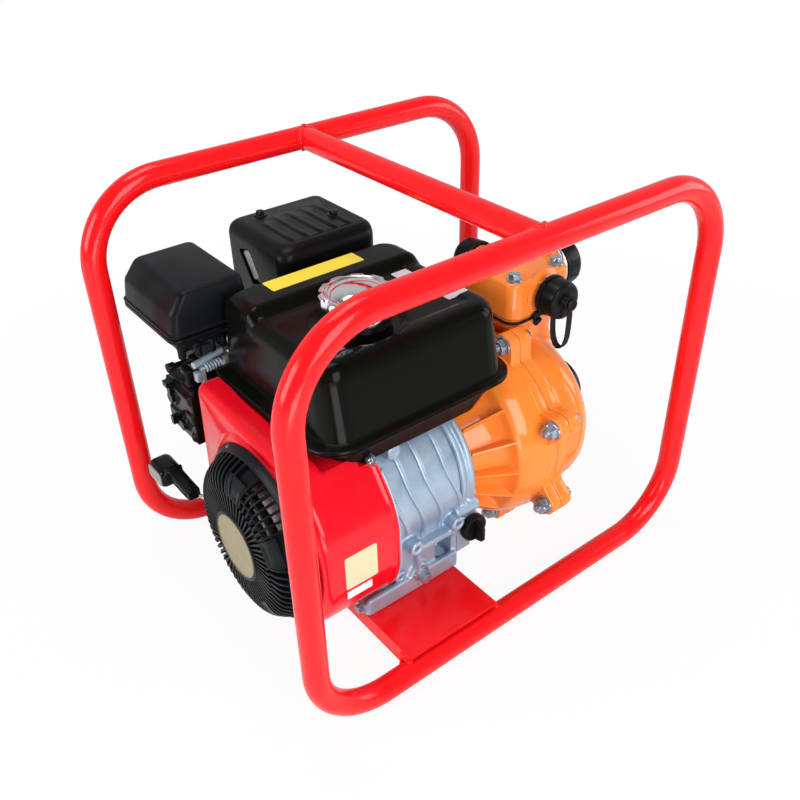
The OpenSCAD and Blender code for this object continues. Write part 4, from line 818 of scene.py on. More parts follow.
# Each pad: radius from and to, angle from and to, and how deep it is dished.
PADS = [(61, 82, 84, 103, 1.2), (61, 82, 142, 164, 1.2), (61, 89, 226, 236, 0.6)]
PAD_ROWS, PAD_COLUMNS, PAD_DEEP = 12, 16, 5.5
for low_r, high_r, start, end, sunk in PADS:
    rows = []
    for i in range(PAD_ROWS + 1):
        r = low_r + (high_r - low_r) * i / PAD_ROWS
        u, out = dome(r)
        row = []
        for k in range(PAD_COLUMNS + 1):
            # The pad is dished, with a soft raised border.
            edge = min(i, PAD_ROWS - i, k, PAD_COLUMNS - k) / 2.0
            down = sunk * min(max(edge - 0.4, 0), 1)
            angle = math.radians(start + (end - start) * k / PAD_COLUMNS)
            row.append([at_angle(r - d * out.x, u - d * out.y, angle) for d in (down, PAD_DEEP)])
        rows.append(row)
    tops = [[bm.verts.new(p[0]) for p in row] for row in rows]
    lows = [[bm.verts.new(p[1]) for p in row] for row in rows]
    for i in range(PAD_ROWS):
        for k in range(PAD_COLUMNS):
            bm.faces.new((tops[i][k], tops[i + 1][k], tops[i + 1][k + 1], tops[i][k + 1]))
            bm.faces.new((lows[i][k], lows[i][k + 1], lows[i + 1][k + 1], lows[i + 1][k]))
    border = [(0, k) for k in range(PAD_COLUMNS)] + [(i, PAD_COLUMNS) for i in range(PAD_ROWS)]
    border += [(PAD_ROWS, k) for k in range(PAD_COLUMNS, 0, -1)] + [(i, 0) for i in range(PAD_ROWS, 0, -1)]
    for (i, k), (j, m) in zip(border, border[1:] + border[:1]):
        bm.faces.new((tops[i][k], tops[j][m], lows[j][m], lows[i][k]))
# Two thin hoops cross the bars of the window.
for r in (71, 80.2):
    u, out = dome(r)
    arc = [at_angle(r - 1.6 * out.x, u - 1.6 * out.y, math.radians(102 + 40 * k / 24)) for k in range(25)]
    tube(bm, arc, 1.3, 8)
engine_piece("recoil_bands", bm, black_nylon, "frame", "black_plastic", sharp=35)

# Medallion: a plain disc of beige lacquered aluminium, let into the hub of the recoil cover.
# It has a thin turned-up edge.
beige_lacquer = painted("beige lacquered aluminium", "#8E866A", "#958A60", 1.5, 0.35, 0.15)
bm = bmesh.new()
low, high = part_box("medallion")
disc_r = (high.y - low.y) * 500
face_u = (ENGINE.inverted() @ low).x
lathe(bm, [(0, 0.9), (disc_r - 2.2, 0.7), (disc_r - 1.6, 0.1), (disc_r - 0.6, 0), (disc_r - 0.2, 0.3),
           (disc_r - 0.2, 1.35), (0, 1.35)], (face_u, 0, 0), TO_U, 96)
engine_piece("hub_disc", bm, beige_lacquer, "frame", "medallion", "medallion", sharp=40)

# Starter handle: a T grip moulded in gloss black, with a flat stem that takes the rope's knot.
# Its outer face has a grey insert.
gloss_black_plastic = moulded("gloss black moulding", "#0B0D10", "#101316", 0.2, 2.0, 0.06)
grey_insert = moulded("grey moulded insert", "#A0A19F", "#8F908E", 0.38, 0.8, 0.15)
STEM_U = 12
HEAD = (-5, -13, 21, 9)
bm = bmesh.new()
loops = []
for v, wide, high_w in ((96, 6.0, 5.2), (97.5, 7.0, 6.6), (118, 7.2, 6.4), (136, 7.4, 7.0), (143, 9.5, 8.5)):
    loops.append([(p.x, v, p.y) for p in rounded(STEM_U - wide, -high_w, STEM_U + wide, high_w, 2.5, 4)])
loft(bm, loops)
for w in (-3.2, 3.2):
    tube(bm, [(4.9, 101, w), (4.7, 134, w)], 0.9, 8)
loops = []
for v, grow in ((140, -3.5), (141, -1.6), (143, -0.4), (145.5, 0), (168, 0), (171.5, -0.8), (173.3, -2.4), (174, -4.5)):
    plan = rounded(HEAD[0] - grow, HEAD[1] - grow, HEAD[2] + grow, HEAD[3] + grow, (5, 5, 7, 7), 6)
    loops.append([(p.x, v, p.y) for p in plan])
loft(bm, loops)
engine_piece("grip", bm, gloss_black_plastic, "handle", "black_plastic", "pull_handle", sharp=40)
bm = bmesh.new()
plan = rounded(142.5, -10.2, 171.5, 5.2, (3, 3, 4, 4), 5)
loft(bm, [[(u, p.x + (157 - p.x) * s, p.y + (-2.5 - p.y) * s) for p in plan]
          for u, s in ((-3.5, 0), (-5.3, 0), (-5.8, 0.04))])
RIVET = [(0, 0), (2.6, 0), (2.6, 0.7), (1.8, 1.0), (0, 1.0)]
lathe(bm, RIVET, (-5.6, 150, -3), TO_U @ Matrix.Rotation(math.pi, 4, "X"), 20)
engine_piece("grip_insert", bm, grey_insert, "handle", "black_plastic", sharp=40)

# Starter rope: braided nylon. At rest it goes straight from the cover's mouth into the handle's stem,
# and a pull draws it out along one line.
braid, t, skin, where = begun("braided nylon rope")
# The strands' crossings are about 2 mm apart, and show as pale diamonds in a grey-white cord.
strands = node(t, "ShaderNodeTexVoronoi", None, {"Vector": where, "Scale": 480.0})
tone = node(t, "ShaderNodeMix", {"data_type": "RGBA"},
            {"Factor": strands.outputs["Distance"], "A": linear("#E4E2DA"), "B": linear("#A9A69C")})
bump = node(t, "ShaderNodeBump", None, {"Height": strands.outputs["Distance"], "Strength": 0.5, "Distance": 0.0005})
fed(t, skin, {"Base Color": tone.outputs["Result"], "Normal": bump.outputs["Normal"], "Roughness": 0.8})

PULL = Vector((-0.70, 0.45, 0.55)).normalized()
ROPE_R = 2.2
mouth = Vector((12, 101, 0))
leave = mouth - 8 * PULL
route = [Vector((22, 70, -3)), Vector((21, 84, -4)), Vector((19.3, 92.5, -4.6))]
route += [leave.lerp(mouth, k / 36) for k in range(37)]
route.append(mouth + 2.5 * PULL)
bm = bmesh.new()
tube(bm, route, ROPE_R, 10)
rope = engine_piece("rope_run", bm, braid, None, "rope", "starter_rope", sharp=60)
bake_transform(rope)

# Reel: a black nylon sheave on the cover's post, with two turns of the rope in its groove.
# The turns go round with the reel.
broken("rope_reel", black_nylon, 0.5)
low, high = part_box("rope_turns")
groove_u = (ENGINE.inverted() @ low).x
groove_r = (high.y - low.y) * 500 - ROPE_R
groove_w = (high.x - low.x) * 1000 - 2 * ROPE_R
bm = bmesh.new()
turns = [at_angle(groove_r, groove_u + ROPE_R + groove_w * k / 96, 2 * math.pi * k / 48) for k in range(97)]
tube(bm, turns, ROPE_R, 8)
engine_piece("rope_winding", bm, braid, "reel", "rope", "rope_turns", sharp=60)

# Ignition coil and plug lead: potted black blocks and a silicone-covered cable on the fan's side.
# A rubber boot covers the spark plug's end.
black_rubber = moulded("moulded black rubber", "#14161A", "#1B1D21", 0.55, 0.7, 0.3)
broken("ignition_coil", black_nylon, 0.5)


def curved(points, n):
    """A smooth run through the points, with n steps from each to the next."""
    ends = [points[0]] + points + [points[-1]]
    out = []
    for a, b, c, d in zip(ends, ends[1:], ends[2:], ends[3:]):
        for k in range(n):
            t = k / n
            out.append(b + 0.5 * t * ((c - a) + t * ((2 * a - 5 * b + 4 * c - d) + t * (3 * (b - c) + d - a))))
    return out + [points[-1]]


bm = bmesh.new()
LEAN = math.radians(25)
BOOT = [(6.2, 0), (9.5, 0), (9.8, 3), (9.2, 4), (9.2, 13), (8.2, 16), (5.4, 19), (3.4, 22), (0, 22)]
lathe(bm, BOOT, (216, 175.8, 73.1), Matrix.Rotation(LEAN - math.pi / 2, 4, "X"), 32)
LEAD = [(216, 190, 79.6), (216, 197, 82), (215, 201, 78), (209, 202, 66), (192, 195, 32), (164, 166, -8),
        (148, 142, -17), (138, 122, -8), (126, 110, 12), (104, 101, 32), (85, 100, 34)]
tube(bm, curved([Vector(p) for p in LEAD], 8), 3.2, 16)
engine_piece("plug_cable", bm, black_rubber, "frame", "rubber", "plug_lead", sharp=50)

# Fuel tank: two pressings of sheet steel, rolled together at the rim and sprayed gloss black.
# The top panel lies a little below its border, with a dish round the filler and a raised shelf along the far side.
gloss_black = painted("gloss black enamel", "#090908", "#0F0F0D", 4.0, 0.13, 0.0)
gloss_black.node_tree.nodes["Principled BSDF"].inputs["Specular IOR Level"].default_value = 0.11

PANEL_W = 190.0
SHELF_FROM, SHELF_TO, SHELF_UP = 70.0, 81.0, 8.0
DISH_R, DISH_SLOPE, DISH_DEEP = 50, 11, 3.6
NEAR_BORDER, RIGHT_BORDER, BORDER_SLOPE, PANEL_SUNK = -33, 282, 8, 2.0
FILLER = Vector((172, 8))
COLUMNS = 100
STATIONS = [-30 + 2.5 * k for k in range(40)] + [70, 72, 74, 76, 78, 79.5, 81, 82.5, 86, 92]
FAR_LEFT_R = 7.0


def tank_chains(low_u, high_u, low_v, high_v, r):
    """The left and right edge of one level, from near to far. The far left corner is the tightest."""
    arc = [math.radians(90 * k / 8) for k in range(9)]
    first, last = low_v + r + 0.5, high_v - r - 0.5
    stations = STATIONS
    if last < STATIONS[-1] or first > STATIONS[0]:
        span = (last - first) / (STATIONS[-1] - STATIONS[0])
        stations = [first + (v - STATIONS[0]) * span for v in STATIONS]
    sides = []
    for far_r in (min(r, FAR_LEFT_R), r):
        edge = [(r - r * math.sin(a), low_v + r - r * math.cos(a)) for a in arc]
        edge += [(0, v) for v in stations]
        edge += [(far_r - far_r * math.sin(a), high_v - far_r + far_r * math.cos(a)) for a in reversed(arc)]
        sides.append(edge)
    return [(low_u + x, v) for x, v in sides[0]], [(high_u - x, v) for x, v in sides[1]]


def tank_row(a, b):
    """Points from a to b, across the tank."""
    return [(a[0] + (b[0] - a[0]) * k / COLUMNS, a[1] + (b[1] - a[1]) * k / COLUMNS) for k in range(COLUMNS + 1)]


def tank_ring(left, right):
    """One level's closed outline."""
    return tank_row(left[0], right[0]) + right[1:-1] + tank_row(left[-1], right[-1])[::-1] + left[-2:0:-1]


def shelf(v):
    """Height of the shelf above the panel."""
    return SHELF_UP * min(max((v - SHELF_FROM) / (SHELF_TO - SHELF_FROM), 0), 1)


def panel(u, v):
    """Height of the top panel: sunk inside its borders, dished round the filler, raised on the shelf."""
    away = (Vector((u, v)) - FILLER).length
    dish = DISH_DEEP * eased((DISH_R - away) / DISH_SLOPE)
    inside = eased((v - NEAR_BORDER) / BORDER_SLOPE) * eased((RIGHT_BORDER - u) / BORDER_SLOPE)
    sunk = PANEL_SUNK * inside * (1 - shelf(v) / SHELF_UP)
    return PANEL_W - sunk - dish + shelf(v)


# Each level: u from and to, v from and to, corner radius, height, and whether it follows the shelf.
LEVELS = [
    (97, 270, -60, 63, 18, 82.6, 0), (94, 273, -63, 66, 21, 84.6, 0), (92, 286, -66.5, 119, 24, 99, 0),
    (83, 304, -68.5, 127, 27, 108.8, 0), (74.5, 309, -72, 129.5, 31, 109.6, 0),
    (72, 312, -75, 131, 33.5, 110.2, 0), (71, 312.8, -75.8, 131.8, 34, 111.2, 0),
    (71.4, 312.4, -75.4, 131.4, 34, 112.4, 0), (72.2, 311.6, -74.6, 130.6, 33.5, 112.9, 0),
    (71.2, 312.6, -75.6, 131.6, 34, 113.5, 0), (70.8, 313, -76, 132, 34, 114.8, 0),
    (71.6, 312.2, -75.2, 131.2, 33.5, 116, 0), (73.5, 310.5, -73.5, 130.2, 32, 116.5, 0),
    (81.5, 306.5, -69.5, 128.5, 28, 116.8, 0), (84.4, 304.6, -67.4, 127.6, 26.5, 117.8, 0),
    (85, 303.8, -66.6, 127.2, 26, 120, 0), (88.4, 303, -55.2, 127, 23, 170, 0),
    (89.2, 302.8, -53.4, 126.8, 22.5, 176, 1), (90.2, 302.2, -52.2, 126.4, 22, 180, 1),
    (92, 300.6, -50.2, 125.4, 21, 183.4, 1), (94.4, 298.4, -47.8, 124, 19.5, 186.2, 1),
    (97.4, 295.6, -44.8, 122.6, 17.5, 188.4, 1), (100.8, 292.4, -41.2, 121.2, 15, 189.6, 1),
    (104, 289.2, -37.8, 120, 12, 190, 1),
]
bm = bmesh.new()
loops = []
for low_u, high_u, low_v, high_v, r, w, follows in LEVELS:
    left, right = tank_chains(low_u, high_u, low_v, high_v, r)
    loops.append([(u, v, w + follows * shelf(v)) for u, v in tank_ring(left, right)])
left, right = tank_chains(105.8, 286.6, -36.2, 119.4, 10)
loops.append([(u, v, panel(u, v)) for u, v in tank_ring(left, right)])
rows = loft(bm, loops, caps=False)
bm.faces.new(rows[0][::-1])
grid = [[bm.verts.new((u, v, panel(u, v))) for u, v in tank_row(a, b)] for a, b in zip(left, right)]
for a, b in zip(grid, grid[1:]):
    for i in range(COLUMNS):
        bm.faces.new((a[i], a[i + 1], b[i + 1], b[i]))
# The filler's neck stands in the dish.
lathe(bm, [(30.5, -5), (31.5, -2.2), (29.5, -1.6), (27.5, 0.2), (26, 3), (26, 9.6), (23.5, 9.6), (23.5, -5)],
      (FILLER.x, FILLER.y, PANEL_W), UPRIGHT, 64, ring=True)
engine_piece("tank_shell", bm, gloss_black, "frame", "black_paint", "fuel_tank", sharp=36)

# Blank stickers on the tank: a yellow strip on the shelf and two small white ones.
# The small one on the right border is bent over its edge.
yellow_film = painted("yellow vinyl film", "#FFE93F", "#F8E032", 6.0, 0.28, 0.2)
sticker("shelf_strip", (189, 108.5, 198.1), (1, 0, 0), (0, 1, 0), 112, 23, 1.5, yellow_film, "medallion")
sticker("panel_sticker", (271, 57, 188.3), (1, 0, 0), (0, 1, 0), 28, 21, 1.5, white_film, "medallion")
bm = bmesh.new()
loops = []
for k in range(25):
    u = 266.5 + 25.5 * k / 24
    near, far = (-15.2, -0.8) if 0 < k < 24 else (-14.4, -1.6)
    loops.append([(u, near, panel(u, near) - 0.4), (u, far, panel(u, far) - 0.4),
                  (u, far, panel(u, far) + 0.35), (u, near, panel(u, near) + 0.35)])
loft(bm, loops)
engine_piece("edge_sticker", bm, white_film, "frame", "medallion")

# Fuel cap: a deep-drawn and chromed cap with ten finger scallops and a polished dome.
# It screws on the filler's neck.
mirror_chrome = metal("polished chrome plate", "#EDEFF2", "#DDE0E4", 0.1, 3.0, 0.02)
LOBES = 10
LOBE_BITE = 3.4
CAP_STEPS = 200
CAP_R = 32.8
CAP_WIDER, CAP_TALLER = 1.13, 1.08
# Each ring: radius, height, and how deep the scallops bite there.
CAP_PROFILE = [(26.4, 0.4, 0), (29.4, 0, 0), (30, 1.2, 0), (30, 9, 0), (30, 11, 0), (CAP_R - 0.9, 12.6, 0.9),
               (CAP_R, 14, 1), (CAP_R, 25.6, 1), (CAP_R - 0.3, 27, 1), (CAP_R - 1.2, 28.2, 0.95),
               (CAP_R - 2.4, 28.8, 0.75), (29.2, 29, 0.4), (27, 29, 0.05), (26, 28.6, 0), (25.4, 27.6, 0),
               (24.8, 27.5, 0), (24.2, 28.4, 0), (21.5, 30.4, 0), (17, 32.3, 0), (11, 33.8, 0), (5, 34.5, 0),
               (0.05, 34.7, 0)]
low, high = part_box("fuel_cap")
foot_w = (ENGINE.inverted() @ low).z
bm = bmesh.new()
loops = []
for r, h, scallop in CAP_PROFILE:
    loop = []
    for k in range(CAP_STEPS):
        a = 2 * math.pi * k / CAP_STEPS
        bite = max(math.cos(LOBES * a) - 0.1, 0.0) / 0.9
        grip = CAP_WIDER * (r - LOBE_BITE * scallop * bite ** 0.8)
        loop.append((FILLER.x + grip * math.cos(a), FILLER.y + grip * math.sin(a), foot_w + CAP_TALLER * h))
    loops.append(loop)
loft(bm, loops)
engine_piece("cap_pressing", bm, mirror_chrome, "fuel_cap", "chrome", "fuel_cap", sharp=50)

# Muffler shield: one pressing in black stove enamel over the muffler, with broad corners.
# Five ribs stand along its top, and a slanted slot in its end lets cooling air in.
stove_enamel = moulded("black stove enamel on steel", "#07090A", "#0C0F10", 0.32, 1.2, 0.12)
SHIELD = (168.0, 293.0, 137.0, 257.0)
SHIELD_TOP = 214.0
SHIELD_LEVELS = (112, 113, 150, 190, 199, 202, 204.5, 206.5, 208, 209.2, 210.2, 211.2, 212, 212.7, 213.3, 213.7,
                 213.95, SHIELD_TOP)
SHIELD_WALL = 2
NEAR_ROUND, FAR_ROUND = 15.0, 6.0


def rounded_in(w, r):
    """How far a top edge of radius r has drawn in at one height."""
    up = max(w - (SHIELD_TOP - r), 0)
    return r - math.sqrt(max(r * r - up * up, 0))


def shield_plan(near, far, radii, n):
    """The shield's outline, drawn in on its near and left sides, and on its far and right sides."""
    return rounded(SHIELD[0] + near, SHIELD[2] + near, SHIELD[1] - far, SHIELD[3] - far, radii, n)


bm = bmesh.new()
stacked(bm, [(w, shield_plan(rounded_in(w, NEAR_ROUND), rounded_in(w, FAR_ROUND), (15, 14, 8, 8), 8))
             for w in SHIELD_LEVELS])
# Each rib: its run from near to far, with the depth of its middle below the top.
RIB_U = [196 + 18.4 * k for k in range(5)]
RIB_RUN = [(150, 9), (153.5, 5.6), (158, 4.4), (166, 4.0), (180, 4.2), (195, 4.2), (210, 4.2), (226, 5.4), (236, 7)]
for u in RIB_U:
    tube(bm, [(u, v, SHIELD_TOP - down) for v, down in RIB_RUN], [3.0, 5.0, 5.8] + [6.0] * 6, 20)
slot_bm = bmesh.new()
SLOT = filleted([(232, 188, 3), (209, 194, 3), (188, 160, 3), (208, 152, 3)], 5)
loft(slot_bm, [[(u, p.x, p.y) for p in SLOT] for u in (160, 176)])
# The pressing is open below, and the exhaust leaves through a round hole in its far side.
HOLLOW = ((100, 0), (199, 0), (205, 3), (208.5, 7), (210.5, 13))
stacked(slot_bm, [(w, shield_plan(SHIELD_WALL + by, SHIELD_WALL + by, (13, 12, 6, 6), 5)) for w, by in HOLLOW])
lathe(slot_bm, [(0, -12), (13, -12), (13, 6), (0, 6)], (263, SHIELD[3], 142), TO_FAR, 48)


def pierced(bm, cutter_bm):
    """Cuts one closed drawing out of another, and gives the result back as a new one."""
    body = bpy.data.objects.new("body", drawn(bm, "body"))
    cutter = bpy.data.objects.new("cutter", drawn(cutter_bm, "cutter"))
    scene.collection.objects.link(cutter)
    cut = body.modifiers.new("cut", "BOOLEAN")
    cut.operation = "DIFFERENCE"
    cut.solver = "EXACT"
    cut.use_self = True
    cut.object = cutter
    out = bmesh.new()
    out.from_mesh(evaluated(body))
    for each in (body, cutter):
        bpy.data.objects.remove(each)
    return out


bm = pierced(bm, slot_bm)
engine_piece("muffler_cover", bm, stove_enamel, "frame", "black_paint", "muffler_shield", sharp=34)
# Behind the slot: the bright end of the muffler itself.
bm = bmesh.new()
plan = filleted([(228, 186, 4), (213, 190, 4), (196, 163, 4), (208, 157, 4)], 5)
loft(bm, [[(u, p.x, p.y) for p in plan] for u in (170.6, 175.4)])
aluminised = metal("aluminised muffler sheet", "#D3D6D8", "#A9ADB1", 0.4, 1.5, 0.1, 0.3)
engine_piece("muffler_end", bm, aluminised, "frame", "steel", sharp=40)

# Bolts: zinc-plated hexagon heads with a round flange under them, each turned as the spanner left it.
# The two on the muffler's shield are blackened.
bright_zinc = metal("bright zinc plate", "#B4BEC9", "#8A95A2", 0.2, 1.0, 0.015, 0.75)
zinc_black = metal("black oxide steel", "#1D1F22", "#121416", 0.35, 1.0, 0.1, 0.6)
CROWN = 0.32
HEX_STEPS = 48


def hexagon(flat, height, from_h):
    """Rings of a hexagon head with its chamfered crown."""
    out = []
    for shrink, h in ((1.0, from_h), (1.0, height - 0.14 * flat), (0.0, height - CROWN), (0.0, height)):
        ring = []
        for k in range(HEX_STEPS):
            a = 2 * math.pi * k / HEX_STEPS
            corner = flat / 2 / math.cos((a + math.pi / 6) % (math.pi / 3) - math.pi / 6)
            r = corner if shrink else min(corner, flat * (0.5 if h < height else 0.42))
            ring.append((r * math.cos(a), r * math.sin(a), h))
        out.append(ring)
    return out


def bolt_head(flat, height, flange_r, flange_h, stud_r=0.0, stud_h=0.0):
    """One flanged bolt or nut, its seat at the origin and its crown up. A stud shows the bolt's end."""
    bm = bmesh.new()
    lathe(bm, [(0, -0.6), (flange_r, -0.6), (flange_r, flange_h * 0.4), (flange_r - 0.5, flange_h * 0.7),
               (flat * 0.54, flange_h), (0, flange_h)], (0, 0, 0), UPRIGHT, 32)
    loft(bm, hexagon(flat, height, flange_h * 0.6))
    if stud_r:
        end = height + stud_h
        lathe(bm, [(0, height - 1), (stud_r + 0.8, height - 1), (stud_r + 0.5, height + 0.4), (stud_r, height + 0.4),
                   (stud_r, end - 0.8), (stud_r - 0.8, end), (0, end)], (0, 0, 0), UPRIGHT, 24)
    bmesh.ops.scale(bm, vec=(0.001,) * 3, verts=bm.verts)
    return drawn(bm, "bolt")


tree, given, close = new_tree("bolts on seats", [("Bolt", "Object"), ("Turn", "Rotation"), ("Seed", "Int")])
bolt = node(tree, "GeometryNodeObjectInfo", None, {"Object": given.outputs["Bolt"]})
seats = node(tree, "GeometryNodeMeshToPoints", None, {"Mesh": given.outputs["Geometry"]})
spin = node(tree, "FunctionNodeRandomValue", {"data_type": "FLOAT"}, {2: 0.0, 3: 6.283, "Seed": given.outputs["Seed"]})
about = node(tree, "FunctionNodeAxisAngleToRotation", None, {"Axis": (0, 0, 1), "Angle": spin.outputs[1]})
stand = node(tree, "FunctionNodeRotateRotation", {"rotation_space": "LOCAL"},
             {"Rotation": given.outputs["Turn"], "Rotate By": about.outputs[0]})
heads = node(tree, "GeometryNodeInstanceOnPoints", None,
             {"Points": seats.outputs[0], "Instance": bolt.outputs["Geometry"], "Rotation": stand.outputs[0]})
bolt_tree = close(heads.outputs[0])


def bolts(name, seats, turn, head, material, slot, *nodes, seed):
    """Sets one kind of bolt on every seat. The seats are in the engine's frame."""
    model = bpy.data.objects.new("bolt_model", head)
    scene.collection.objects.link(model)
    points = bpy.data.meshes.new(name)
    points.from_pydata([ENGINE @ Vector(p) for p in seats], [], [])
    grown(name, points, bolt_tree, {"Finish": material, "Bolt": model, "Turn": turn.to_euler(), "Seed": seed},
          "frame", slot, *nodes, sharp=30)
    bpy.data.objects.remove(model)


bolts("shield_screws", [(206, 243, SHIELD_TOP), (270, 189, SHIELD_TOP)], UPRIGHT, bolt_head(9, 5, 8, 1.4), zinc_black,
      "black_paint", "muffler_bolts", seed=3)
FACING_LEFT = Matrix.Rotation(math.radians(-90), 4, "Y")
bolts("shroud_bolts", [(127, -68, 88), (105.6, -65, -99)], FACING_LEFT, bolt_head(8, 6, 7, 1.6), bright_zinc,
      "zinc", seed=5)
broken("shroud_screws", bright_zinc, 0.3)

# Air cleaner: a moulded hood on a tray, with a pleated paper element inside.
# The hood's end is cut back in a broad chamfer, and a lip runs round the joint.
HOOD = (33.0, 127.0, 132.0, 256.0)
LIP_W = 160.0
# Each level: height, what the left, right, near and far sides draw in, and the corners' radius.
HOOD_LEVELS = [(0.3, 1.4, 1.4, 1.4, 1.4, 9), (1.4, 0.4, 0.4, 0.4, 0.4, 9.5), (2, 0, 0, 0, 0, 9.5),
               (3.6, 0, 0, 0, 0, 9.5), (4.4, 0.6, 0.6, 0.6, 0.6, 9.5), (5, 1.8, 1.8, 1.8, 1.8, 9.5),
               (24, 4.4, 2.8, 2.8, 2.8, 9), (27.5, 5.6, 3, 3, 3, 9), (30.5, 8, 3.4, 3.4, 3.4, 9),
               (41.5, 16.4, 4.8, 5, 5, 8), (44, 18.8, 6, 6.4, 6.2, 7), (45.6, 21.6, 8, 8.6, 8.2, 6.5),
               (46.2, 25, 11, 11.6, 11, 6)]


def hood_plan(left, right, near, far, r):
    """The hood's outline, each side drawn in by its own amount."""
    return rounded(HOOD[0] + left, HOOD[2] + near, HOOD[1] - right, HOOD[3] - far, r, 8)


bm = bmesh.new()
stacked(bm, [(LIP_W + h, hood_plan(*sides)) for h, *sides in HOOD_LEVELS])
engine_piece("cleaner_hood", bm, black_nylon, "frame", "black_plastic", "air_cleaner_cover", sharp=34)
TRAY_LEVELS = [(137, 14, 6), (138.5, 12.5, 7), (150, 6, 9), (154.2, 3, 10), (154.6, 0.6, 10), (155.6, 0, 10),
               (158.4, 0, 10), (159.2, 0.6, 10), (159.4, 2, 9)]
bm = bmesh.new()
stacked(bm, [(w, hood_plan(by, by, by, by, r)) for w, by, r in TRAY_LEVELS])
for u, v in ((46, 146), (62, 140), (78, 141), (92, 143)):
    lathe(bm, [(0, 0), (4.2, 0), (4.2, 12), (3.2, 13), (0, 13)], (u, v, 131), UPRIGHT, 20)
cast("cleaner_tray", bm, 1.4, 2, black_nylon, "frame", "black_plastic", nodes=["air_cleaner_base"])

# Filter element: oiled yellow paper, folded in deep pleats.
# It stands inside the hood, and comes out when the hood is off.
pleat_paper = moulded("oiled filter paper", "#C8B45A", "#B5A04A", 0.85, 0.6, 0.3)
low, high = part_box("filter_element")
low, high = ENGINE.inverted() @ low, ENGINE.inverted() @ high
PLEATS = 46
bm = bmesh.new()
outer = spaced(rounded(low.x + 3, low.y + 3, high.x - 3, high.y - 3, 14, 8), PLEATS * 4)
inner = inset(outer, -9)
zigzag = [inner[i] if i % 4 in (0, 1) else outer[i] for i in range(len(outer))]
loft(bm, [[(p.x, p.y, w) for p in zigzag] for w in (low.z + 1, high.z - 1)], caps=False)
element = engine_piece("pleated_paper", bm, pleat_paper, "frame", "filter", "filter_element", sharp=30)
walled(element, 0.0006, 0.0)

# Control panel: a black moulding under the air cleaner that carries the choke and fuel levers.
# Flat pads and round bosses stand on its face.
bm = bmesh.new()
block(bm, (41.5, 142, 74), (46, 198, 84), 2)
block(bm, (41.0, 176, 28), (46, 198, 50), 2)
block(bm, (42.0, 141, 48), (46, 158, 62), 2)
for v, w, r in ((184, 66, 9), (164, 40, 8.5), (192, 34, 5), (148, 30, 5)):
    lathe(bm, [(0, 0), (r, 0), (r, 2.2), (r - 1, 3.2), (0, 3.2)], (44.5, v, w), FACING_LEFT, 28)
block(bm, (46, 141, 86), (64, 196, 92), 3)
block(bm, (48, 150, 92), (60, 166, 112), 3)
cast("panel_moulding", bm, 1.1, 2, gloss_black_plastic, "frame", "black_plastic", nodes=["control_panel"])
for name in ("choke_lever", "fuel_lever"):
    broken(name, gloss_black_plastic, 0.8)

# Speed control: a zinc-plated bracket with a rolled rail, and the speed lever's black rod.
# A limit screw stands in its spring, against a chromated stop.
broken("control_bracket", bright_zinc, 0.3)
broken("throttle_lever", gloss_black_plastic, 0.6)
satin_zinc = metal("satin zinc plate", "#BCCBD8", "#A2B3C2", 0.38, 1.0, 0.05, 0.3)
yellow_chromate = metal("yellow chromated steel", "#E6DEC6", "#D5CAA8", 0.35, 1.0, 0.05, 0.2)
bm = bmesh.new()
RAIL = [(53, 139.5, 122.6), (102, 148.5, 125.4)]
tube(bm, RAIL, 3.6, 20)
block(bm, (54, 138, 101), (60.5, 146, 112), 1.5)
block(bm, (61, 139, 96), (66, 147, 118), 1.5)
engine_piece("control_rail", bm, satin_zinc, "frame", "zinc", sharp=40, bevel=0.0003)
bm = bmesh.new()
COILS = 6
helix = []
for k in range(COILS * 16 + 1):
    a = 2 * math.pi * k / 16
    helix.append((64 + 20 * k / (COILS * 16), 137.6 + 4.4 * math.cos(a), 116.6 + 4.4 * math.sin(a)))
tube(bm, helix, 1.15, 8)
lathe(bm, [(0, 0), (2.2, 0), (2.2, 32), (0, 32)], (60, 137.6, 116.6), TO_U, 16)
engine_piece("limit_coil", bm, satin_zinc, "frame", "zinc", "limit_spring", sharp=50)
bm = bmesh.new()
plan = filleted([(84, 133, 1), (97, 136, 1), (99, 146, 1), (88, 143, 1)], 3)
stacked(bm, [(w, plan) for w in (113.6, 119.4)])
engine_piece("limit_stop", bm, yellow_chromate, "frame", "zinc", sharp=40, bevel=0.0004)

# Starter cup: a deep-drawn steel cup on the flywheel. Its zinc is painted near white and barely metallic, a painted
# highlight where it shows through the cover's windows into the shade inside. The flywheel's nut holds it, and gets the
# same painted-pale zinc.
# Painted highlight: a near-white colour that stands in for light which hardly reaches the cup inside the cover.
painted_pale_zinc = metal("zinc plate painted pale as a highlight", "#F6F7F8", "#E9ECEE", 0.4, 1.0, 0.05, 0.1)
CUP = [(18, 45), (60.6, 45), (61.8, 43), (61.8, 31.2), (62.4, 30.4), (64.2, 30.4), (64.8, 31), (64.8, 36),
       (64.2, 36.6), (64.2, 62), (18, 62)]
bm = bmesh.new()
lathe(bm, CUP, (0, 0, 0), TO_U, 96, ring=True)
engine_piece("drawn_cup", bm, painted_pale_zinc, "rotor", "zinc", "starter_cup", sharp=40)
broken("flywheel_nut", painted_pale_zinc, 0.4)

# Pump casing, engine half: an alloy casting, finished in gloss orange, that bolts to the engine.
# Sixteen ribs tie its bell to the shoulder, and each ear of its flange takes one bolt.
orange_enamel = painted("orange gloss enamel", "#FF8F38", "#FD8730", 5.0, 0.1, 0.3)

EARS = [math.radians(104 + 360 * k / 7) for k in range(7)]
BOLT_RING = 119.5
FLANGE_R = 107.0
EAR_REACH, EAR_HALF = 25.0, 15.5
FLANGE_STEPS = 420


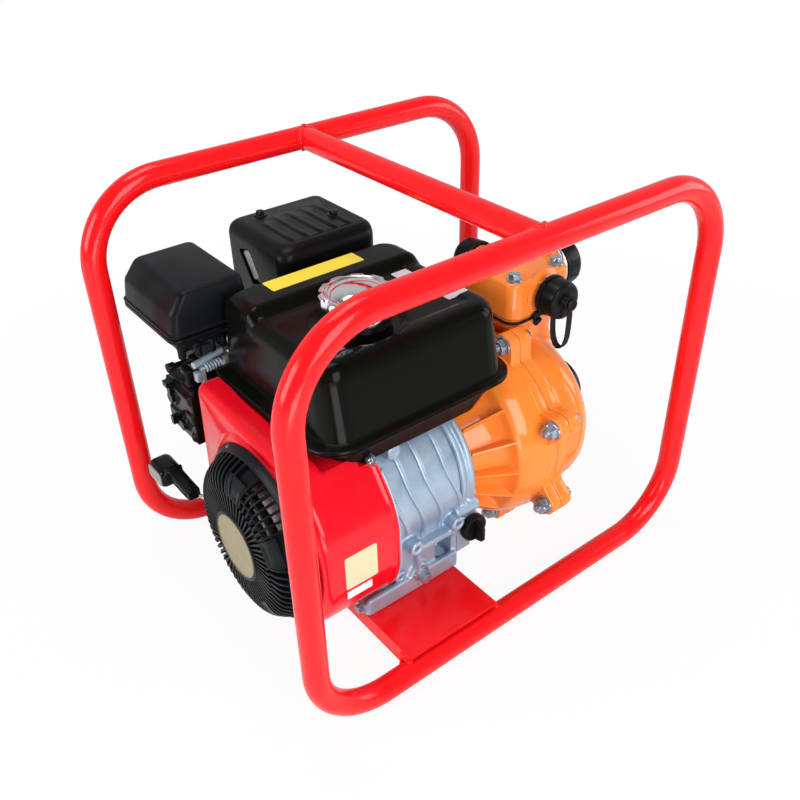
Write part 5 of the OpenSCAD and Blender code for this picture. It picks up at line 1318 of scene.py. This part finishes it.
def eared(u, less):
    """The flange's outline: a circle that swells to an ear at each bolt."""
    ring = []
    for k in range(FLANGE_STEPS):
        a = 2 * math.pi * k / FLANGE_STEPS
        aside = min(abs((a - e + math.pi) % (2 * math.pi) - math.pi) for e in EARS) * BOLT_RING
        ring.append(at_angle(FLANGE_R + EAR_REACH * math.exp(-(aside / EAR_HALF) ** 4) - less, u, a))
    return ring


def flange(bm, edges, inner_r):
    """A flange plate: its eared edge, and a round hole through it."""
    hole = [[at_angle(inner_r, u, 2 * math.pi * k / FLANGE_STEPS) for k in range(FLANGE_STEPS)]
            for u in (edges[-1][0], edges[0][0])]
    loft(bm, [eared(u, less) for u, less in edges] + hole, ring=True)


BELL = [(40, 252.4), (60.5, 252.4), (62, 253.2), (62.8, 258), (64.5, 263), (69.5, 278), (76, 290), (79.5, 294),
        (84, 296.6), (90, 297.8), (94, 298), (96.4, 298.8), (98, 300.8), (101.6, 308), (104.2, 316), (105.8, 325),
        (106.6, 333.5)]
CHAMBER_WALL = [(106.6, 344.6), (94, 344.6), (94, 333), (14, 333), (14, 325), (92, 325), (92, 308), (74, 299),
                (56, 262), (56, 258), (40, 258)]
bm = bmesh.new()
lathe(bm, BELL + CHAMBER_WALL, (0, 0, 0), TO_U, 144, ring=True)
flange(bm, [(331.2, 1.6), (332, 0.5), (333, 0), (342.8, 0), (343.8, 0.4), (344.6, 1.5)], 94)
for a in (45, 135, 225, 315):
    a = math.radians(a)
    lathe(bm, [(3.4, 0), (10, 0), (9.2, 6), (8.4, 12.6), (7.6, 13.6), (4, 13.6), (3.4, 13), (3.4, 6)],
          (252.4, 55 * math.cos(a), 55 * math.sin(a)), TO_U, 28, ring=True)
engine_piece("rear_casting", bm, orange_enamel, "frame", "orange_paint", "pump_rear_casing", sharp=34)

# Its ribs, thin at the edge and broad at the root, as they leave the mould.
bm = bmesh.new()
loops = []
for k in range(13):
    u = 258 + 41.5 * k / 12
    top, root = 70.5 + 26.5 * k / 12, table([(u, r) for r, u in BELL], u) - 3 if u < 294 else 80.0
    section = [(-2.8, root), (-1.6, top - 1.2), (-1.0, top), (1.0, top), (1.6, top - 1.2), (2.8, root)]
    loops.append([at_angle(r, u, 0, aside) for aside, r in section])
loft(bm, loops)
bm.transform(ENGINE)
grown("casing_ribs", drawn(bm, "casing_rib"), ring_tree,
      {"Finish": orange_enamel, "Count": 16, "Start": 0.0, "Step": math.pi / 8, **CRANK_AXIS},
      "frame", "orange_paint", sharp=30)

# Pump casing, water half: the volute with its suction neck in front and a square neck on top for the outlets.
# The same orange goes over all of it.
bm = bmesh.new()
VOLUTE = [(64, 345.4), (106, 345.4), (107, 346.4), (107, 358.8), (106, 360), (101, 361.4), (97.4, 364), (96.2, 369),
          (97, 377), (98, 386), (97, 394.7), (94, 403.5), (88, 412), (80, 418.6), (71, 421.6), (60, 423), (43, 423.8),
          (38, 424.6), (35.4, 427), (34, 432), (34, 439.4), (32.8, 440.4), (30.2, 440.6), (30, 442), (30, 460.6),
          (29, 461.8), (25, 462), (25, 398), (64, 396), (80, 390), (88, 380), (88, 372), (80, 366), (64, 362)]
lathe(bm, VOLUTE, (0, 0, 0), TO_U, 144, ring=True)
flange(bm, [(345.4, 1.5), (346.2, 0.4), (347.2, 0), (358.6, 0), (359.8, 0.5), (360.6, 1.6)], 94)
MANIFOLD = (352.0, 443.0, -20.5, 70.5)


def manifold_plan(by, r):
    """The manifold's square outline with round corners, drawn in by some mm."""
    return rounded(MANIFOLD[0] + by, MANIFOLD[2] + by, MANIFOLD[1] - by, MANIFOLD[3] - by, r, 10)


# Each level: height, how far it is drawn in, and the corners' radius.
NECK = ((131, 1.4, 13), (130, 0.4, 14), (129, 0, 14), (122.8, 0, 14), (120.8, 0.8, 13.5), (119, 3, 13),
        (116.4, 6.4, 13), (112, 9, 14), (104, 10.6, 15), (92, 10, 17), (82, 6, 20), (74, 0, 24), (60, 2, 24))
stacked(bm, [(w, manifold_plan(by, r)) for w, by, r in NECK])
engine_piece("front_casting", bm, orange_enamel, "frame", "orange_paint", "pump_front_casing", sharp=34)

# Discharge manifold: a hollow block on four bolts, with a threaded stub for each outlet.
# Turned steps run out from the near stub into the block's face.
bm = bmesh.new()
BLOCK = ((132, 0.8, 13.5), (132.8, 0, 14), (148, 0, 14), (151, 0.7, 14), (170.5, 1.2, 13.5), (172.4, 2, 13),
         (173.5, 3.4, 12), (174, 5.6, 11))
stacked(bm, [(w, manifold_plan(by, r)) for w, by, r in BLOCK])
OUTLET = Vector((400, 25, 154))


def stub(steps, thread_r, start, length):
    """Profile of one outlet stub: its steps, then a thread of 3 mm pitch."""
    turns = []
    h = start
    while h < start + length - 4:
        turns += [(thread_r - 0.9, h), (thread_r, h + 1), (thread_r, h + 1.5), (thread_r - 0.9, h + 2.5)]
        h += 3
    end = start + length
    return steps + turns + [(thread_r - 0.9, end - 1), (thread_r - 1.8, end), (0, end)]


NEAR_STEPS = [(0, -4), (19.9, -4), (19.9, 2.2), (19.4, 2.8), (18.6, 3), (18.3, 5.4), (17.6, 6)]
FAR_STEPS = [(0, -4), (20, -4), (19.4, 6), (19, 13.2), (18.2, 14)]
for turn, face, steps, start in ((TO_NEAR, MANIFOLD[2], NEAR_STEPS, 6), (TO_FAR, MANIFOLD[3], FAR_STEPS, 14)):
    lathe(bm, stub(steps, 17, start, 22), (OUTLET.x, face, OUTLET.z), turn, 64)
lathe(bm, stub([(0, -4), (27, -4), (27, 4.4), (26.4, 5)], 25, 10, 22), (MANIFOLD[1], OUTLET.y, OUTLET.z), TO_U, 72)
bores = bmesh.new()
lathe(bores, [(12.5, -70), (12.5, 80)], OUTLET, TO_NEAR, 48)
lathe(bores, [(12.4, -82), (12.4, -12)], OUTLET, TO_NEAR, 48)
lathe(bores, [(17, -4), (17, 90)], OUTLET, TO_U, 48)
bm = pierced(bm, bores)
for r, h in ((26.4, 0.9), (23.2, 1.8)):
    rim_at = (OUTLET.x, MANIFOLD[2], OUTLET.z)
    lathe(bm, [(r - 6, -3), (r - 6, h), (r - 0.8, h), (r - 0.1, h - 0.4), (r, -3)], rim_at, TO_NEAR, 72, ring=True)
# The turned steps end where the block's flat face does.
FACE_LOW, FACE_TOP = 132.8, 170
for v in bm.verts:
    if v.co.y < MANIFOLD[2] + 0.5:
        v.co.z = min(max(v.co.z, FACE_LOW), FACE_TOP)
engine_piece("manifold_block", bm, orange_enamel, "frame", "orange_paint", "discharge_manifold", sharp=34)
bright_alloy = metal("turned bright aluminium", "#E9ECEF", "#D5DADF", 0.25, 0.6, 0.08)
broken("outlet_ring", bright_alloy, 0.6)

# Bolts of the pump: M8 flange bolts on the manifold, and through bolts with flange nuts round the casing.
# Those round the casing and on the manifold are bright zinc, and the others are satin.
SEATS = [(BOLT_RING * math.cos(a), BOLT_RING * math.sin(a)) for a in EARS]
bolts("casing_nuts", [(331.4, v, w) for v, w in SEATS], FACING_LEFT, bolt_head(16.5, 9.5, 11, 2.2, 4.2, 5),
      bright_zinc, "zinc", "casing_bolts", seed=7)
bolts("casing_bolt_heads", [(360.4, v, w) for v, w in SEATS], TO_U, bolt_head(13, 7.5, 9.5, 2),
      bright_zinc, "zinc", seed=8)
bolts("manifold_bolt_heads", [(u, v, 174) for u in (366, 429) for v in (-6.5, 56.5)], UPRIGHT,
      bolt_head(11.5, 8.5, 8.8, 2), bright_zinc, "zinc", "manifold_bolts", seed=9)
for name in ("engine_bolts", "cover_bolts", "impeller_nut"):
    broken(name, satin_zinc, 0.4)

# Drain plug: a long hexagon plug with a sealing flange, screwed into the crankcase's foot.
# Its head faces the near side.
low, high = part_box("drain_plug")
plug = bolt_head(11.5, 12.5, 9.6, 3.0)
bm = bmesh.new()
bm.from_mesh(plug)
bm.transform(Matrix.Translation(((low.x + high.x) / 2, low.y + 0.0052, (low.z + high.z) / 2 - 0.004)) @ TO_NEAR)
piece("drain_screw", bm, bright_zinc, "frame", "zinc", "drain_plug")

# Impeller: cast in bronze, and dull where the water runs over it.
# It turns on the crankshaft's end, inside the volute.
cast_bronze = metal("sand-cast bronze", "#B98A4A", "#94692F", 0.42, 1.0, 0.2)
broken("impeller", cast_bronze, 0.5)

# Port caps: moulded in black, with a stepped knob that a strap goes round.
# Each pulls straight off its stub.
cap_moulding = moulded("satin black moulding", "#0B0C0E", "#111316", 0.3, 1.0, 0.1)
KNOB = [(10, 25.1), (8.8, 25.5), (8.2, 26.3), (8, 29), (7.4, 29.8), (5.8, 30.2), (5.5, 31), (5.5, 32), (6.6, 32.5),
        (7, 33.3), (7, 34.2), (6.2, 35), (3.6, 35), (3.2, 34.4), (0, 34.4)]


def port_cap(bm, thread_r, place, turn):
    """One cap: hollow inside, with a rolled edge at its mouth, and the knob on top."""
    r = thread_r + 4.6
    inside = [(0, 22.4), (thread_r + 0.3, 22.4), (thread_r + 0.3, 0.6), (thread_r + 0.9, 0)]
    skirt = [(r + 0.5, 0), (r + 1.4, 0.8), (r + 1.4, 4.4), (r + 0.8, 5.2), (r - 0.5, 5.6), (r - 0.5, 6.9), (r, 7.6),
             (r - 0.2, 18.5), (r - 0.7, 21.4), (r - 1.7, 23.5), (r - 3.2, 24.7), (r - 5, 25)]
    lathe(bm, inside + skirt + KNOB, place, turn, 72)


CAPS = [
    ("near_cap", 17, Vector((400, -26.8, 154)), TO_NEAR, "near_port_cap", 0),
    ("far_cap", 17, Vector((400, 84.8, 154)), TO_FAR, "far_port_cap", 8),
    ("main_cap", 25, Vector((453.3, 25, 154)), TO_U, "main_port_cap", 10),
    ("suction_cap", 30, Vector((440.9, 0, 0)), TO_U, "suction_port_cap", 12),
]
for name, thread_r, place, turn, body, grips in CAPS:
    bm = bmesh.new()
    port_cap(bm, thread_r, place, turn)
    engine_piece(name + "_moulding", bm, cap_moulding, body, "black_plastic", name, sharp=34)
    if not grips:
        continue
    # One finger grip, and its copies round the cap's own axis.
    bm = bmesh.new()
    r = thread_r + 4
    loft(bm, [[(r - 1.5, -3.2 * s, h), (r + s, -2.2 * s, h), (r + s, 2.2 * s, h), (r - 1.5, 3.2 * s, h)]
              for h, s in ((5, 1), (18, 1), (20, 0.9), (21, 0.6))])
    bm.transform(ENGINE @ Matrix.Translation(place) @ turn)
    axis = turn.to_3x3() @ Vector((0, 0, 1))
    grown(name + "_grips", drawn(bm, "cap_grip"), ring_tree,
          {"Finish": cap_moulding, "Count": grips, "Start": 0.0, "Step": 2 * math.pi / grips, "Axis": tuple(axis),
           "Centre": tuple(ENGINE @ place)}, body, "black_plastic", sharp=30)

# Cap strap: a flat rubber band that hangs in a loop from the near cap's knob.
# An eye at its end fits over the knob's neck.
STRAP = [(-57.8, 147), (-58, 136), (-57.8, 124), (-57, 113), (-54.6, 104), (-50.8, 98.4), (-46.2, 96.4), (-41.8, 98.4),
         (-38.2, 104.4), (-36.2, 113), (-35.4, 122), (-35.2, 132.4)]
bm = bmesh.new()
loops = []
for i, (v, w) in enumerate(STRAP):
    ahead = Vector(STRAP[min(i + 1, len(STRAP) - 1)]) - Vector(STRAP[max(i - 1, 0)])
    side = Vector((ahead.y, -ahead.x)).normalized()
    section = [(-4, -0.4), (-3.6, -0.8), (3.6, -0.8), (4, -0.4), (4, 0.4), (3.6, 0.8), (-3.6, 0.8), (-4, 0.4)]
    loops.append([(400 + a, v + b * side.x, w + b * side.y) for a, b in section])
loft(bm, loops)
STRAP_EYE = [(5.5, 0), (9.2, 0), (9.4, 0.4), (9.4, 1.2), (9.2, 1.6), (5.5, 1.6)]
lathe(bm, STRAP_EYE, (400, -57.1, 154), TO_NEAR, 40, ring=True)
engine_piece("strap_loop", bm, black_rubber, "near_port_cap", "rubber", "near_strap", sharp=40)

# Cap tether: a thin black cord, tied once round the manifold's foot.
# Two small barrel toggles hang at its knot.
CORD_R = 1.6
bm = bmesh.new()
tube(bm, [(p.x, p.y, 129.6) for p in manifold_plan(-0.1 - CORD_R, 14 + CORD_R)], CORD_R, 10, ring=True)
for place, tilt, long in (((381, -24.2, 131.6), 0.42, 13), ((383, -24.2, 121.6), 0.5, 10)):
    lean = Matrix.Rotation(-tilt, 4, "Y") @ TO_U
    lathe(bm, [(0, 0), (2.2, 0), (3, 1), (3.1, long / 2), (3, long - 1), (2.2, long), (0, long)], place, lean, 18)
tube(bm, [(383, -23.6, 130.4), (382.4, -24, 128), (383.4, -24.2, 125.4), (385, -24.2, 122.6)], 1.3, 8)
engine_piece("tether_cord", bm, black_rubber, "frame", "rubber", "cap_tether", sharp=50)

# Oil filler cap: a black disc with a paddle to turn it by.
# Its plug screws into the filler's neck.
FILLER_MOUTH = Vector((242, -82.3, -50))
FILLER_PLUG = [(0, -17), (9.6, -17), (9.6, 0), (13.6, 0), (15.2, 0.5), (16, 1.6), (16, 6.8), (15.4, 8.2), (14, 9),
               (12.4, 9), (11.4, 8.2), (0, 8)]
bm = bmesh.new()
lathe(bm, FILLER_PLUG, FILLER_MOUTH, TO_NEAR, 56)
loops = []
for h, half, thick in ((7, 13, 3.2), (9, 12.6, 2.7), (15, 11.5, 2.4), (19.5, 10, 2.3), (21.4, 8, 1.9), (22, 5.5, 1.2)):
    plan = rounded(-thick, -half, thick, half, 1.2, 4)
    loops.append([FILLER_MOUTH + Vector((p.x, -h, p.y)) for p in plan])
loft(bm, loops)
engine_piece("filler_paddle", bm, cap_moulding, "oil_cap", "black_plastic", "oil_filler_cap", sharp=36)

# The visual model's box beside the CAD model's.
size = [list(v) for v in (*cad_box, *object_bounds())]
